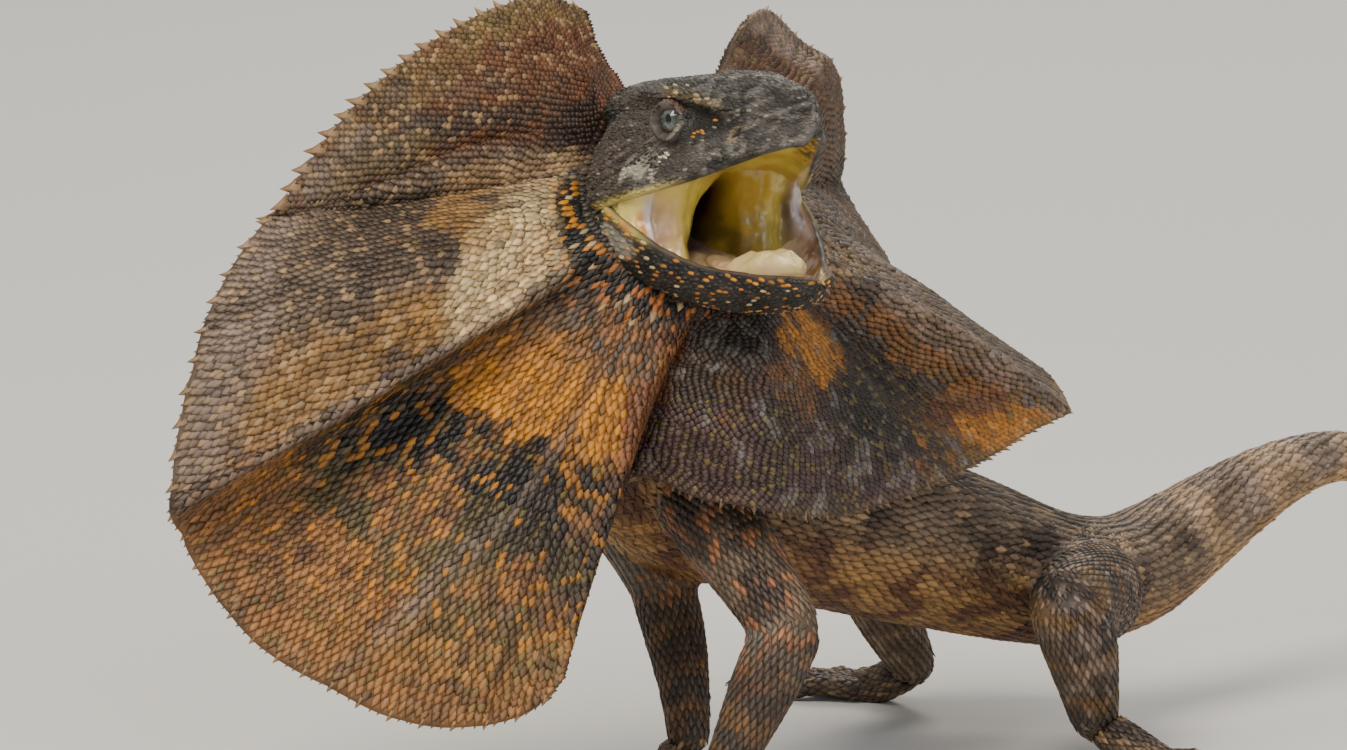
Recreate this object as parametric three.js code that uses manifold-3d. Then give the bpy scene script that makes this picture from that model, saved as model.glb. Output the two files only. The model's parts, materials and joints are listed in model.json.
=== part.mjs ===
// A frilled lizard at life size in its threat display: mouth agape, neck frill spread,
// head turned to its left, standing on four feet with the end of its tail on the floor.
// Millimetres, +Z up. The body faces +X and its left side faces +Y.
import * as THREE from "three";
import { mergeVertices } from "three/addons/utils/BufferGeometryUtils.js";
import Module from "manifold-3d";

const wasm = await Module();
wasm.setup();

const RAD = Math.PI / 180;
const GAP = 0.3; // free space between touching nodes
const FINE = 0.04; // detail below this is dropped after a cut
const GROW = 0.5; // how far a neighbour is grown before it cuts, so that GAP is left at its edges too

// Driving sizes of the head, in its own frame: x forward from the mouth hinge along the upper
// lip, y to the animal's left, z up
const HINGE = [0, 0, 122]; // middle of the line between the two mouth corners
const HEAD_YAW = 76; // degrees that the snout is turned to the animal's left
const HEAD_PITCH = 18.7; // degrees that the upper lip rises towards the snout
const GAPE = 30; // degrees between the upper and the lower lip

// Stations of the upper head: x, half width at the lip, lip height, half width and height of the
// brow edge, crown height
const SKULL = [
  [-15, 13, 0, 9, 13, 18],
  [-12, 17.5, 0, 12, 18, 22.5],
  [-5, 21, 0, 14.8, 20.4, 24.6],
  [4, 20.4, 0, 14, 20.6, 23.4],
  [13, 17, 0, 12.8, 19, 21.6],
  [22, 13.2, 0.2, 9.8, 15.4, 20],
  [30, 9.8, 0.7, 7.2, 11.4, 18],
  [37, 6.9, 1.1, 5, 8.8, 15.4],
  [43, 4.3, 1, 3.4, 7, 12.6],
  [46.8, 2.3, 0.6, 2, 6, 10.8],
  [49.3, 0.7, 2.6, 0.7, 5.8, 9],
];
const PALATE = 3.4; // height of the palate's arch over the lip line
const LIP = 2; // width of the lip's flat edge

// Stations of the lower jaw: x, half width, lip height, depth of the mouth's floor and of the jaw below the lip
const MANDIBLE = [
  [-8, 14, 0, 6, 10],
  [-5, 18.4, 0, 8, 13.6],
  [0, 21, 0, 9, 15.5],
  [9, 20, -1.6, 8, 14.4],
  [18, 17.2, -4, 5.6, 11],
  [27, 13.2, -5, 3.6, 8.4],
  [36, 8.9, -3.8, 2.8, 6.6],
  [43, 5.4, -2, 2.2, 5],
  [46.5, 3.2, -1, 1.4, 3.8],
  [48.5, 0.9, -0.6, 0.5, 2],
];

const EYE = { x: 15, side: 9.9, z: 12.9, ball: 4.6, lid: 5.6, forward: 14, slit: 3.6, open: 2.9 };
const NOSTRIL = { x: 32, side: 7.4, z: 6.5, swell: 2.3, hole: 0.9 };
const EAR = { x: -7, side: 20, z: 8.4, radius: 3.8, dip: 1.4 };

// Mouth's lining: distance from the middle line, where it starts behind the hinge, then how far it
// reaches forward of the hinge at the palate, at half height and at the floor
const LINING = [
  [0, -9, 10, -4, -7],
  [1.7, -9, 10, -2, -5],
  [5, -7, 11, 5, 3],
  [9.5, -3, 12, 7.6, 6],
  [13.5, 1, 11, 5.6, 4],
  [16.2, 1.5, 9.5, 6, 7.5],
  [18.4, 1.5, 6.6, 5, 7.5],
  [19.8, 1.5, 3.6, 3.2, 4],
];
const LINING_TOP = 4;
const LINING_FOOT = -13;

// Tongue along the lower jaw: x, half width, height of its middle line, half thickness
const TONGUE = [
  [9, 2.5, -8.6, 0.8],
  [12, 4, -8.2, 1.4],
  [17, 5.4, -6.9, 2.5],
  [22, 6, -5.4, 3.6],
  [28, 5.8, -4.3, 3.9],
  [33, 5, -2.9, 3.7],
  [36.5, 3.8, -1.9, 2.7],
  [39, 1.6, -1.6, 1],
];

// Frill: radial ribs from the animal's right brow round under the throat to its left brow.
// root and rim: degrees round the head from straight up towards its right, distance from the
// head's axis, distance behind the mouth hinge. belly: forward bulge at mid length. tooth: rim spine.
const RIBS = [
  { root: [19, 25, 9], rim: [20, 43, 8], belly: -2, tooth: 1 },
  { root: [30, 24.5, 10], rim: [31, 50, 7], belly: -1, tooth: 1.6 },
  { root: [42, 23, 11], rim: [50, 58, 12], belly: 2, tooth: 2.4 },
  { root: [55, 22, 11], rim: [66, 66, 19], belly: 3, tooth: 3.2 },
  { root: [63, 22, 11], rim: [81, 75, 26], belly: 0, tooth: 3.4 },
  { root: [68, 22, 11], rim: [85, 79, 27], belly: -4, tooth: 2.6 },
  { root: [77, 22, 10], rim: [95, 92, 29], belly: 7, tooth: 2.2 },
  { root: [86, 22.5, 8], rim: [104, 102, 33], belly: 10, tooth: 2.2 },
  { root: [97, 23, 6], rim: [111, 109, 37], belly: 8, tooth: 2 },
  { root: [109, 23.5, 2], rim: [114, 113, 37], belly: 5, tooth: 1.4 },
  { root: [114, 23.5, 1], rim: [118, 111, 44], belly: -6, tooth: 1 },
  { root: [122, 23, 0], rim: [128, 115, 38], belly: -5, tooth: 1 },
  { root: [132, 22.5, -2], rim: [138, 116, 26], belly: -1, tooth: 1.1 },
  { root: [142, 22, -3], rim: [147, 113, 15], belly: 2, tooth: 0.9 },
  { root: [150, 21.5, -4], rim: [154, 102, 9], belly: 0, tooth: 0.9 },
  { root: [157, 21, -5], rim: [155, 85, 12], belly: -3, tooth: 0.7 },
  { root: [163, 20.5, -6], rim: [156, 60, 20], belly: -4, tooth: 0.5 },
  { root: [169, 20, -6], rim: [161, 54, 10], belly: 0, tooth: 0.6 },
  { root: [176, 20, -6], rim: [171, 58, 2], belly: 3, tooth: 0.7 },
  { root: [184, 20, -6], rim: [183, 62, -2], belly: 4, tooth: 0.8 },
  { root: [195, 20, -6], rim: [202, 67, 5], belly: 2, tooth: 0.8 },
  { root: [207, 21, -5], rim: [222, 76, 14], belly: -1, tooth: 1 },
  { root: [220, 22, -3], rim: [238, 91, 29], belly: -6, tooth: 1 },
  { root: [238, 23, 0], rim: [246, 104, 36], belly: 5, tooth: 1.4 },
  { root: [246, 23.5, 2], rim: [251, 101, 44], belly: 3, tooth: 1.6 },
  { root: [254, 23.5, 4], rim: [256, 90, 55], belly: 5, tooth: 2 },
  { root: [262, 23, 6], rim: [262, 78, 62], belly: 5, tooth: 2 },
  { root: [272, 22.5, 8], rim: [272, 69, 60], belly: 4, tooth: 2 },
  { root: [284, 22, 10], rim: [281, 63, 55], belly: -2, tooth: 2.2 },
  { root: [294, 22, 11], rim: [291, 63, 45], belly: 3, tooth: 2.4 },
  { root: [302, 22, 11], rim: [300, 63, 37], belly: 3, tooth: 2.2 },
  { root: [309, 22, 11], rim: [310, 57, 31], belly: 2, tooth: 1.8 },
  { root: [320, 24, 10], rim: [321, 53, 24], belly: 0, tooth: 1.4 },
  { root: [334, 25, 9], rim: [328, 42, 15], belly: -2, tooth: 1 },
];
// Each lobe of the frill runs between two of its folds, given by their rib numbers
const LOBES = [
  ["frill_right_upper", 0, 5],
  ["frill_right_middle", 5, 9],
  ["frill_right_lower", 9, 16],
  ["frill_throat", 16, 20],
  ["frill_left_lower", 20, 23],
  ["frill_left_middle", 23, 28],
  ["frill_left_upper", 28, 33],
];
const FRILL_ROOT = 2.2; // thickness at the head
const FRILL_RIM = 1; // thickness at the rim
const FRILL_SUNK = 5; // how far the root runs into the head and neck before it is cut
const FRILL_ROWS = 4;
const SPINE_PITCH = 5; // distance between the spines along the rim
const SPINE_TIP = 0.5; // thickness of a spine's tip

// Spine from the back of the head to the tail's tip: centre, half width, height above and depth
// below it, degrees that the body faces there to the left of +X
const SPINE = [
  [-3.5, -10, 120, 13, 12, 11, 76],
  [2, -11, 108, 15, 13, 18, 68],
  [5, -15, 93, 16, 14, 18, 50],
  [3, -18.5, 79, 18.5, 15, 18, 28],
  [-8, -20, 68, 20.5, 15, 19, 12],
  [-30, -22, 60, 21.5, 15, 20, 2],
  [-58, -22, 52, 23.5, 15.5, 20.5, -3],
  [-84, -19, 43, 22, 14.5, 18.5, -8],
  [-108, -14, 34.5, 18, 12, 15.5, -9],
  [-124, -11, 32.5, 14.5, 10.8, 13.4, -7],
  [-138, -10, 35, 11.6, 10.4, 11.2, -3],
  [-162, -10, 43.5, 8.2, 8.2, 8.4, 2],
  [-184, -12, 48, 5.9, 5.9, 6, 6],
  [-204, -14, 46.5, 4.9, 4.9, 4.9, 8],
  [-236, -19, 34, 4.5, 4.5, 4.5, 9],
  [-270, -25, 17, 4.2, 4.2, 4.2, 8],
  [-304, -30, 6, 3.9, 3.9, 3.9, 5],
  [-344, -31, 3.3, 3.5, 3.5, 3.5, -3],
  [-400, -24, 2.8, 3.1, 3.1, 3.1, -10],
  [-460, -10, 2.3, 2.6, 2.6, 2.6, -13],
  [-520, 4, 1.7, 1.9, 1.9, 1.9, -11],
  [-575, 10, 0.9, 0.9, 0.9, 0.9, -5],
];
// Nodes along the spine, by station number
const TRUNK = [
  ["neck", 0, 3],
  ["chest", 3, 5],
  ["belly", 5, 7],
  ["pelvis", 7, 9],
  ["tail_1", 9, 11],
  ["tail_2", 11, 14],
  ["tail_3", 14, 16],
  ["tail_4", 16, 18],
  ["tail_5", 18, 21],
];

// Limbs: joints from the body outwards and the half thickness at each, then the paw
const LIMBS = {
  arm_left: {
    names: ["upper_arm_left", "forearm_left", "hand_left"],
    upper: [[-3, -8, 67, 9.5], [-1, 3, 60, 9], [-1, 14, 50, 7.4], [-2, 22.5, 41, 6.4]],
    lower: [[-2, 22.5, 41, 6.6], [3, 22, 32, 6.4], [8, 20, 21, 5], [12, 18.2, 11.5, 4]],
    foot: { wrist: [12, 18.2, 11.5], palm: [17, 18.5, 3.2], heading: 14, spread: 32, width: 5.2 },
    digits: [9, 12.5, 14, 13, 8.5],
  },
  arm_right: {
    names: ["upper_arm_right", "forearm_right", "hand_right"],
    upper: [[-6, -31, 66, 9.5], [-10, -34, 57, 8.8], [-15, -34, 48, 7.2], [-19, -33, 40, 6.2]],
    lower: [[-19, -33, 40, 6.4], [-18, -28, 31, 6], [-15, -21.5, 20.5, 4.8], [-12, -17, 11.5, 4]],
    foot: { wrist: [-12, -17, 11.5], palm: [-9, -22, 3.2], heading: -38, spread: 32, width: 5.2 },
    digits: [8.5, 13, 14, 12.5, 9],
  },
  leg_left: {
    names: ["thigh_left", "shin_left", "foot_left"],
    upper: [[-113, -8, 31, 11], [-105, 3, 32, 10.5], [-93, 12, 34, 9], [-83, 17, 35, 7.4]],
    lower: [[-83, 17, 35, 7.6], [-86, 18, 27, 7.6], [-90, 17, 17, 6], [-93, 16, 9, 4.6]],
    foot: { wrist: [-93, 16, 9], palm: [-96, 27, 3.4], heading: 88, spread: 24, width: 5.4 },
    digits: [10, 15, 20, 25, 14],
  },
  leg_right: {
    names: ["thigh_right", "shin_right", "foot_right"],
    upper: [[-115, -18, 31, 11], [-108, -30, 32, 10.5], [-98, -41, 34, 9], [-89, -47, 35, 7.4]],
    lower: [[-89, -47, 35, 7.6], [-94, -49, 27, 7.6], [-100, -49.5, 17, 6], [-105, -49, 9, 4.6]],
    foot: { wrist: [-105, -49, 9], palm: [-105, -60, 3.4], heading: -78, spread: 24, width: 5.4 },
    digits: [14, 25, 20, 15, 10],
  },
};
const CLAW = 4; // length of a claw
const TOE = 1.7; // half thickness of a toe

// Finishes, one material a slot
const finish = (color, roughness = 0.8) =>
  new THREE.MeshStandardMaterial({ color, roughness, metalness: 0 });
const SKIN_GREY = finish("#4b4741");
const SKIN_BROWN = finish("#6d5a45");
const FRILL_SKIN = finish("#8a5a2c");
const MOUTH_YELLOW = finish("#c9a445", 0.4);
const TONGUE_PINK = finish("#e3c78e", 0.35);
const EYE_BLUE = finish("#7f9496", 0.1);

// A closed mesh of vertices and triangles as a manifold-3d solid
function solidOf(points, triangles) {
  const geometry = new THREE.BufferGeometry();
  geometry.setAttribute("position", new THREE.Float32BufferAttribute(points.flat(), 3));
  geometry.setIndex(triangles.flat());
  const merged = mergeVertices(geometry, 1e-4);
  return new wasm.Manifold(
    new wasm.Mesh({
      numProp: 3,
      vertProperties: merged.attributes.position.array,
      triVerts: new Uint32Array(merged.index.array),
    }),
  );
}

// A solid through rings of points, closed by a fan at each end
function loft(rings) {
  const n = rings[0].length;
  const points = rings.flat();
  const triangles = [];
  for (let i = 0; i + 1 < rings.length; i++)
    for (let j = 0; j < n; j++) {
      const a = i * n + j;
      const b = i * n + ((j + 1) % n);
      triangles.push([a, b, b + n], [a, b + n, a + n]);
    }
  for (const [ring, base, out] of [
    [rings[0], 0, false],
    [rings.at(-1), (rings.length - 1) * n, true],
  ]) {
    const middle = [0, 1, 2].map((k) => ring.reduce((sum, p) => sum + p[k], 0) / n);
    points.push(middle);
    for (let j = 0; j < n; j++) {
      const a = base + j;
      const b = base + ((j + 1) % n);
      triangles.push(out ? [a, b, points.length - 1] : [b, a, points.length - 1]);
    }
  }
  const made = solidOf(points, triangles);
  return made.volume() > 0 ? made : solidOf(points, triangles.map(([a, b, c]) => [a, c, b]));
}

// A solid with each corner moved outwards by d along the mean of its faces' normals
function grown(solid, d = GROW) {
  const mesh = solid.getMesh();
  const geometry = new THREE.BufferGeometry();
  geometry.setAttribute("position", new THREE.BufferAttribute(mesh.vertProperties.slice(), 3));
  geometry.setIndex([...mesh.triVerts]);
  geometry.computeVertexNormals();
  const at = geometry.attributes.position;
  const normal = geometry.attributes.normal;
  for (let i = 0; i < at.count; i++)
    at.setXYZ(
      i,
      at.getX(i) + d * normal.getX(i),
      at.getY(i) + d * normal.getY(i),
      at.getZ(i) + d * normal.getZ(i),
    );
  return new wasm.Manifold(
    new wasm.Mesh({ numProp: 3, vertProperties: at.array, triVerts: mesh.triVerts }),
  );
}

// The largest closed surface of a solid, which drops loose scraps
function largest(solid) {
  return solid.decompose().reduce((a, b) => (a.volume() > b.volume() ? a : b));
}

// A solid cut clear of its neighbours by about GAP
function clearOf(solid, ...neighbours) {
  const cut = (left, other) => left.subtract(grown(other)).subtract(grown(other, GAP / 3));
  const clear = largest(neighbours.reduce(cut, solid)).simplify(FINE);
  return largest(neighbours.reduce((left, other) => left.subtract(other), clear)).simplify(FINE / 5);
}

// Rows of numbers as a smooth function of the row number, with the end rows repeated
function smoothRows(rows) {
  const row = (i) => rows[Math.min(rows.length - 1, Math.max(0, i))];
  return (u) => {
    const i = Math.min(rows.length - 2, Math.max(0, Math.floor(u)));
    const t = u - i;
    const [a, b, c, d] = [row(i - 1), row(i), row(i + 1), row(i + 2)];
    return b.map(
      (_, k) =>
        b[k] +
        0.5 *
          t *
          (c[k] - a[k] + t * (2 * a[k] - 5 * b[k] + 4 * c[k] - d[k] + t * (3 * (b[k] - c[k]) + d[k] - a[k]))),
    );
  };
}

// Rings of an oval section along a path with rows like those of SPINE
function pathRings(path, from, to, steps, sides) {
  const at = smoothRows(path);
  const rings = [];
  for (let i = 0; i <= steps; i++) {
    const u = from + ((to - from) * i) / steps;
    const [x, y, z, wide, above, below, facing] = at(u);
    const ahead = new THREE.Vector3(...at(Math.min(u + 0.05, path.length - 1)).slice(0, 3));
    ahead.sub(new THREE.Vector3(...at(Math.max(u - 0.05, 0)).slice(0, 3))).normalize();
    const side = new THREE.Vector3(Math.sin(facing * RAD), -Math.cos(facing * RAD), 0);
    side.addScaledVector(ahead, -side.dot(ahead)).normalize();
    const up = ahead.clone().cross(side);
    const ring = [];
    for (let j = 0; j < sides; j++) {
      const a = (2 * Math.PI * j) / sides;
      const p = new THREE.Vector3(x, y, z)
        .addScaledVector(side, wide * Math.cos(a))
        .addScaledVector(up, Math.sin(a) * (Math.sin(a) > 0 ? above : below));
      ring.push(p.toArray());
    }
    rings.push(ring);
  }
  return rings;
}

// Round tube through joints of [x, y, z, half thickness], with rounded ends
function limbTube(joints, steps, sides) {
  const rows = joints.map(([x, y, z, r]) => [x, y, z, r, r, r]);
  const at = smoothRows(rows);
  const us = [0];
  for (let i = 1; i < steps; i++) us.push(((rows.length - 1) * i) / steps);
  us.push(rows.length - 1);
  const rings = [];
  const ahead = new THREE.Vector3();
  const side = new THREE.Vector3(0.31, 0.27, 0.91);
  for (const u of us) {
    const [x, y, z, r] = at(u);
    ahead.set(...at(Math.min(u + 0.05, rows.length - 1)).slice(0, 3));
    ahead.sub(new THREE.Vector3(...at(Math.max(u - 0.05, 0)).slice(0, 3))).normalize();
    side.addScaledVector(ahead, -side.dot(ahead)).normalize();
    const up = ahead.clone().cross(side);
    const first = u === 0;
    const last = u === rows.length - 1;
    const bulge = first ? [[-0.75, 0.5], [0, 1]] : last ? [[0, 1], [0.75, 0.5]] : [[0, 1]];
    for (const [along, share] of bulge) {
      const ring = [];
      for (let j = 0; j < sides; j++) {
        const a = (2 * Math.PI * j) / sides;
        ring.push(
          new THREE.Vector3(x, y, z)
            .addScaledVector(ahead, along * r)
            .addScaledVector(side, share * r * Math.cos(a))
            .addScaledVector(up, share * r * Math.sin(a))
            .toArray(),
        );
      }
      rings.push(ring);
    }
  }
  return loft(rings);
}

// The head's own frame, and that of the lower jaw, as matrices
const headFrame = new THREE.Matrix4();
{
  const yaw = HEAD_YAW * RAD;
  const pitch = HEAD_PITCH * RAD;
  const forward = new THREE.Vector3(
    Math.cos(yaw) * Math.cos(pitch),
    Math.sin(yaw) * Math.cos(pitch),
    Math.sin(pitch),
  );
  const left = new THREE.Vector3(-Math.sin(yaw), Math.cos(yaw), 0);
  headFrame.makeBasis(forward, left, forward.clone().cross(left)).setPosition(...HINGE);
}
const jawFrame = headFrame.clone().multiply(new THREE.Matrix4().makeRotationY(GAPE * RAD));

const placed = (p, frame) => new THREE.Vector3(...p).applyMatrix4(frame).toArray();
const ball = (radius, place, frame, [sx, sy, sz] = [1, 1, 1], wide = 16, high = 10) => {
  const geometry = new THREE.SphereGeometry(radius, wide, high);
  geometry.scale(sx, sy, sz).translate(...place).applyMatrix4(frame);
  geometry.deleteAttribute("normal");
  geometry.deleteAttribute("uv");
  const merged = mergeVertices(geometry, 1e-4);
  const at = merged.attributes.position;
  const points = [...Array(at.count).keys()].map((i) => [at.getX(i), at.getY(i), at.getZ(i)]);
  const triangles = [];
  for (let i = 0; i < merged.index.count; i += 3) {
    const face = [0, 1, 2].map((k) => merged.index.getX(i + k));
    if (new Set(face).size === 3) triangles.push(face);
  }
  return solidOf(points, triangles);
};

// Upper head: skull, brows, palate, lids, nostrils and the cups of the ears
function makeHead() {
  const at = smoothRows(SKULL);
  const stations = 18;
  const rings = [];
  for (let i = 0; i <= stations; i++) {
    const [x, lip, lipZ, brow, browZ, crown] = at(((SKULL.length - 1) * i) / stations);
    const edge = Math.min(LIP, lip * 0.4);
    const arch = Math.min(PALATE, lip * 0.6);
    const half = [
      [0, lipZ + arch],
      [(lip - edge) * 0.55, lipZ + arch * 0.8],
      [lip - edge, lipZ + 0.3],
      [lip - edge * 0.3, lipZ],
      [lip, lipZ + 1],
      [lip * 1.01, lipZ + (browZ - lipZ) * 0.26],
      [lip * 0.55 + brow * 0.45, lipZ + (browZ - lipZ) * 0.58],
      [brow * 0.98, lipZ + (browZ - lipZ) * 0.84],
      [brow, lipZ + (browZ - lipZ) * 0.97],
      [brow * 0.86, browZ * 0.45 + crown * 0.56],
      [brow * 0.45, crown * 0.99],
    ];
    const right = half.map(([y, z]) => [x, -y, z]);
    const left = half.slice(1).map(([y, z]) => [x, y, z]).reverse();
    rings.push([...right, [x, 0, crown], ...left]);
  }
  let head = loft(rings.map((ring) => ring.map((p) => placed(p, headFrame))));
  for (const side of [-1, 1]) {
    head = head.add(
      ball(EYE.lid, [EYE.x, side * EYE.side, EYE.z], headFrame, [1, 1, 0.95], 14, 10),
    );
    head = head.add(
      ball(NOSTRIL.swell, [NOSTRIL.x, side * NOSTRIL.side, NOSTRIL.z], headFrame, [1.2, 0.8, 0.9], 10, 8),
    );
  }
  for (const side of [-1, 1]) {
    head = head.subtract(
      ball(EYE.ball + GAP, [EYE.x, side * EYE.side, EYE.z], headFrame, [1, 1, 1], 14, 10),
    );
    const turn = EYE.forward * RAD;
    const out = EYE.ball + 1.2;
    head = head.subtract(
      ball(
        1,
        [EYE.x + Math.sin(turn) * out, side * (EYE.side + Math.cos(turn) * out), EYE.z],
        headFrame,
        [EYE.slit, 3.4, EYE.open],
        14,
        10,
      ),
    );
    head = head.subtract(
      ball(NOSTRIL.hole, [NOSTRIL.x + 0.4, side * (NOSTRIL.side + 1.9), NOSTRIL.z], headFrame, [1, 1.4, 1.3], 8, 6),
    );
    head = head.subtract(
      ball(EAR.radius, [EAR.x, side * (EAR.side + 1.3), EAR.z], headFrame, [1, EAR.dip / EAR.radius, 1.15], 12, 8),
    );
  }
  return largest(head);
}

// Lower jaw with its lips and the floor of the mouth
function makeJaw() {
  const at = smoothRows(MANDIBLE);
  const stations = 16;
  const rings = [];
  for (let i = 0; i <= stations; i++) {
    const [x, wide, lipZ, floor, deep] = at(((MANDIBLE.length - 1) * i) / stations);
    const edge = Math.min(LIP, wide * 0.4);
    const half = [
      [0, -floor],
      [(wide - edge) * 0.6, -floor * 0.92],
      [wide - edge, -0.6],
      [wide - edge * 0.35, 0],
      [wide, -1],
      [wide * 1.01, -deep * 0.36],
      [wide * 0.88, -deep * 0.7],
      [wide * 0.5, -deep * 0.95],
    ];
    const right = half.map(([y, z]) => [x, -y, lipZ + z]);
    const left = half.slice(1).map(([y, z]) => [x, y, lipZ + z]).reverse();
    rings.push([...right, [x, 0, lipZ - deep], ...left]);
  }
  return loft(rings.map((ring) => ring.map((p) => placed(p, jawFrame))));
}

// Soft lining at the back of the mouth: the cheeks, two muscle swellings and the throat's slit
function makeLining() {
  const right = LINING.slice(1).map(([y, ...reach]) => [-y, ...reach]).reverse();
  const rings = [...right, ...LINING].map(([y, back, top, middle, foot]) => {
    const front = [
      [foot + 1, LINING_FOOT],
      [foot, -9.5],
      [(foot + 2 * middle) / 3, -6.5],
      [middle, -3.6],
      [(middle + top) / 2, -0.6],
      [top, 2],
      [top + 1, LINING_TOP],
    ];
    const ring = [[back, LINING_TOP], [back, LINING_FOOT], ...front];
    return ring.map(([x, z]) => placed([x, y, z], headFrame));
  });
  return loft(rings);
}

// Tongue lying on the floor of the mouth
function makeTongue() {
  const at = smoothRows(TONGUE);
  const rings = [];
  for (let i = 0; i <= 10; i++) {
    const [x, wide, middle, thick] = at(((TONGUE.length - 1) * i) / 10);
    const ring = [];
    for (let j = 0; j < 14; j++) {
      const a = (2 * Math.PI * j) / 14;
      ring.push(placed([x, wide * Math.cos(a), middle + thick * Math.sin(a)], jawFrame));
    }
    rings.push(ring);
  }
  return loft(rings);
}

// A point of the frill given by degrees round the head, distance from its axis and distance behind the hinge
const aroundHead = ([turn, reach, back]) => [
  -back,
  -reach * Math.sin(turn * RAD),
  reach * Math.cos(turn * RAD),
];

// The middle surface of one lobe: u from 0 to 1 across its ribs, v from 0 at the root to 1 at the rim
function lobeSurface(first, last) {
  const rows = RIBS.slice(first, last + 1).map(({ root, rim, belly, tooth }) => [
    ...aroundHead(root),
    ...aroundHead(rim),
    belly,
    tooth,
  ]);
  const at = smoothRows(rows);
  return (u, v) => {
    const [ax, ay, az, bx, by, bz, belly, tooth] = at(u * (rows.length - 1));
    const length = Math.hypot(bx - ax, by - ay, bz - az);
    const t = v < 0 ? (v * FRILL_SUNK) / length : v;
    const bow = v > 0 ? belly * Math.sin(Math.PI * Math.min(1, v)) : 0;
    return { p: [ax + t * (bx - ax) + bow, ay + t * (by - ay), az + t * (bz - az)], tooth, length };
  };
}

// Shares across a lobe that part its rim into equal lengths of about the spines' pitch
function rimShares(surface) {
  const fine = 400;
  const lengths = [0];
  let last = new THREE.Vector3(...surface(0, 1).p);
  for (let i = 1; i <= fine; i++) {
    const next = new THREE.Vector3(...surface(i / fine, 1).p);
    lengths.push(lengths.at(-1) + next.distanceTo(last));
    last = next;
  }
  const count = Math.max(3, Math.round(lengths.at(-1) / SPINE_PITCH));
  const shares = [];
  for (let k = 0; k <= count; k++) {
    const want = (lengths.at(-1) * k) / count;
    const i = Math.max(1, lengths.findIndex((length) => length >= want - 1e-9));
    shares.push((i - 1 + (want - lengths[i - 1]) / (lengths[i] - lengths[i - 1])) / fine);
  }
  return shares;
}

// One lobe of the frill as a thin closed sheet with a spine at each pitch of its rim
function makeLobe(first, last) {
  const surface = lobeSurface(first, last);
  const shares = rimShares(surface);
  const columns = shares.length - 1;
  const point = (u, v) => new THREE.Vector3(...surface(u, v).p);
  const faces = (u, v, thick) => {
    const step = 0.004;
    const share = Math.max(v, -1);
    const du = point(Math.min(1, u + step), share).sub(point(Math.max(0, u - step), share));
    const speed = du.length() / (Math.min(1, u + step) - Math.max(0, u - step));
    const inset = (GAP * 0.5) / Math.max(speed, 4);
    const inside = Math.min(1 - inset, Math.max(inset, u));
    const dv = point(inside, share + 0.02).sub(point(inside, Math.max(-1, share - 0.02)));
    const normal = du.cross(dv).normalize();
    const middle = point(inside, share);
    return [1, -1].map((way) => middle.clone().addScaledVector(normal, (way * thick) / 2).toArray());
  };
  const rows = FRILL_ROWS + 2;
  const points = [];
  for (const u of shares)
    for (let j = -1; j <= FRILL_ROWS; j++) {
      const v = j / FRILL_ROWS;
      points.push(...faces(u, j < 0 ? -1 : v, FRILL_ROOT + (FRILL_RIM - FRILL_ROOT) * Math.max(0, v)));
    }
  const id = (i, j, k) => (i * rows + j) * 2 + k;
  const triangles = [];
  const quad = (a, b, c, d) => triangles.push([a, b, c], [a, c, d]);
  for (let i = 0; i < columns; i++)
    for (let j = 0; j < rows - 1; j++) {
      quad(id(i, j, 0), id(i + 1, j, 0), id(i + 1, j + 1, 0), id(i, j + 1, 0));
      triangles.push(
        [id(i, j, 1), id(i + 1, j + 1, 1), id(i + 1, j, 1)],
        [id(i, j, 1), id(i, j + 1, 1), id(i + 1, j + 1, 1)],
      );
    }
  for (let j = 0; j < rows - 1; j++) {
    quad(id(0, j, 1), id(0, j, 0), id(0, j + 1, 0), id(0, j + 1, 1));
    quad(id(columns, j, 0), id(columns, j, 1), id(columns, j + 1, 1), id(columns, j + 1, 0));
  }
  for (let i = 0; i < columns; i++) {
    quad(id(i, 0, 1), id(i + 1, 0, 1), id(i + 1, 0, 0), id(i, 0, 0));
    const u = (shares[i] + shares[i + 1]) / 2;
    const { tooth, length } = surface(u, 1);
    const [front, back] = [points.length, points.length + 1];
    points.push(...faces(u, 1 + tooth / length, SPINE_TIP));
    const [a, b, c, d] = [id(i, rows - 1, 0), id(i + 1, rows - 1, 0), id(i, rows - 1, 1), id(i + 1, rows - 1, 1)];
    triangles.push([a, b, front], [d, c, back]);
    quad(c, a, front, back);
    quad(b, d, back, front);
  }
  const made = points.map((p) => placed(p, headFrame));
  const solid = solidOf(made, triangles);
  return solid.volume() > 0 ? solid : solidOf(made, triangles.map(([p, q, r]) => [p, r, q]));
}

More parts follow.
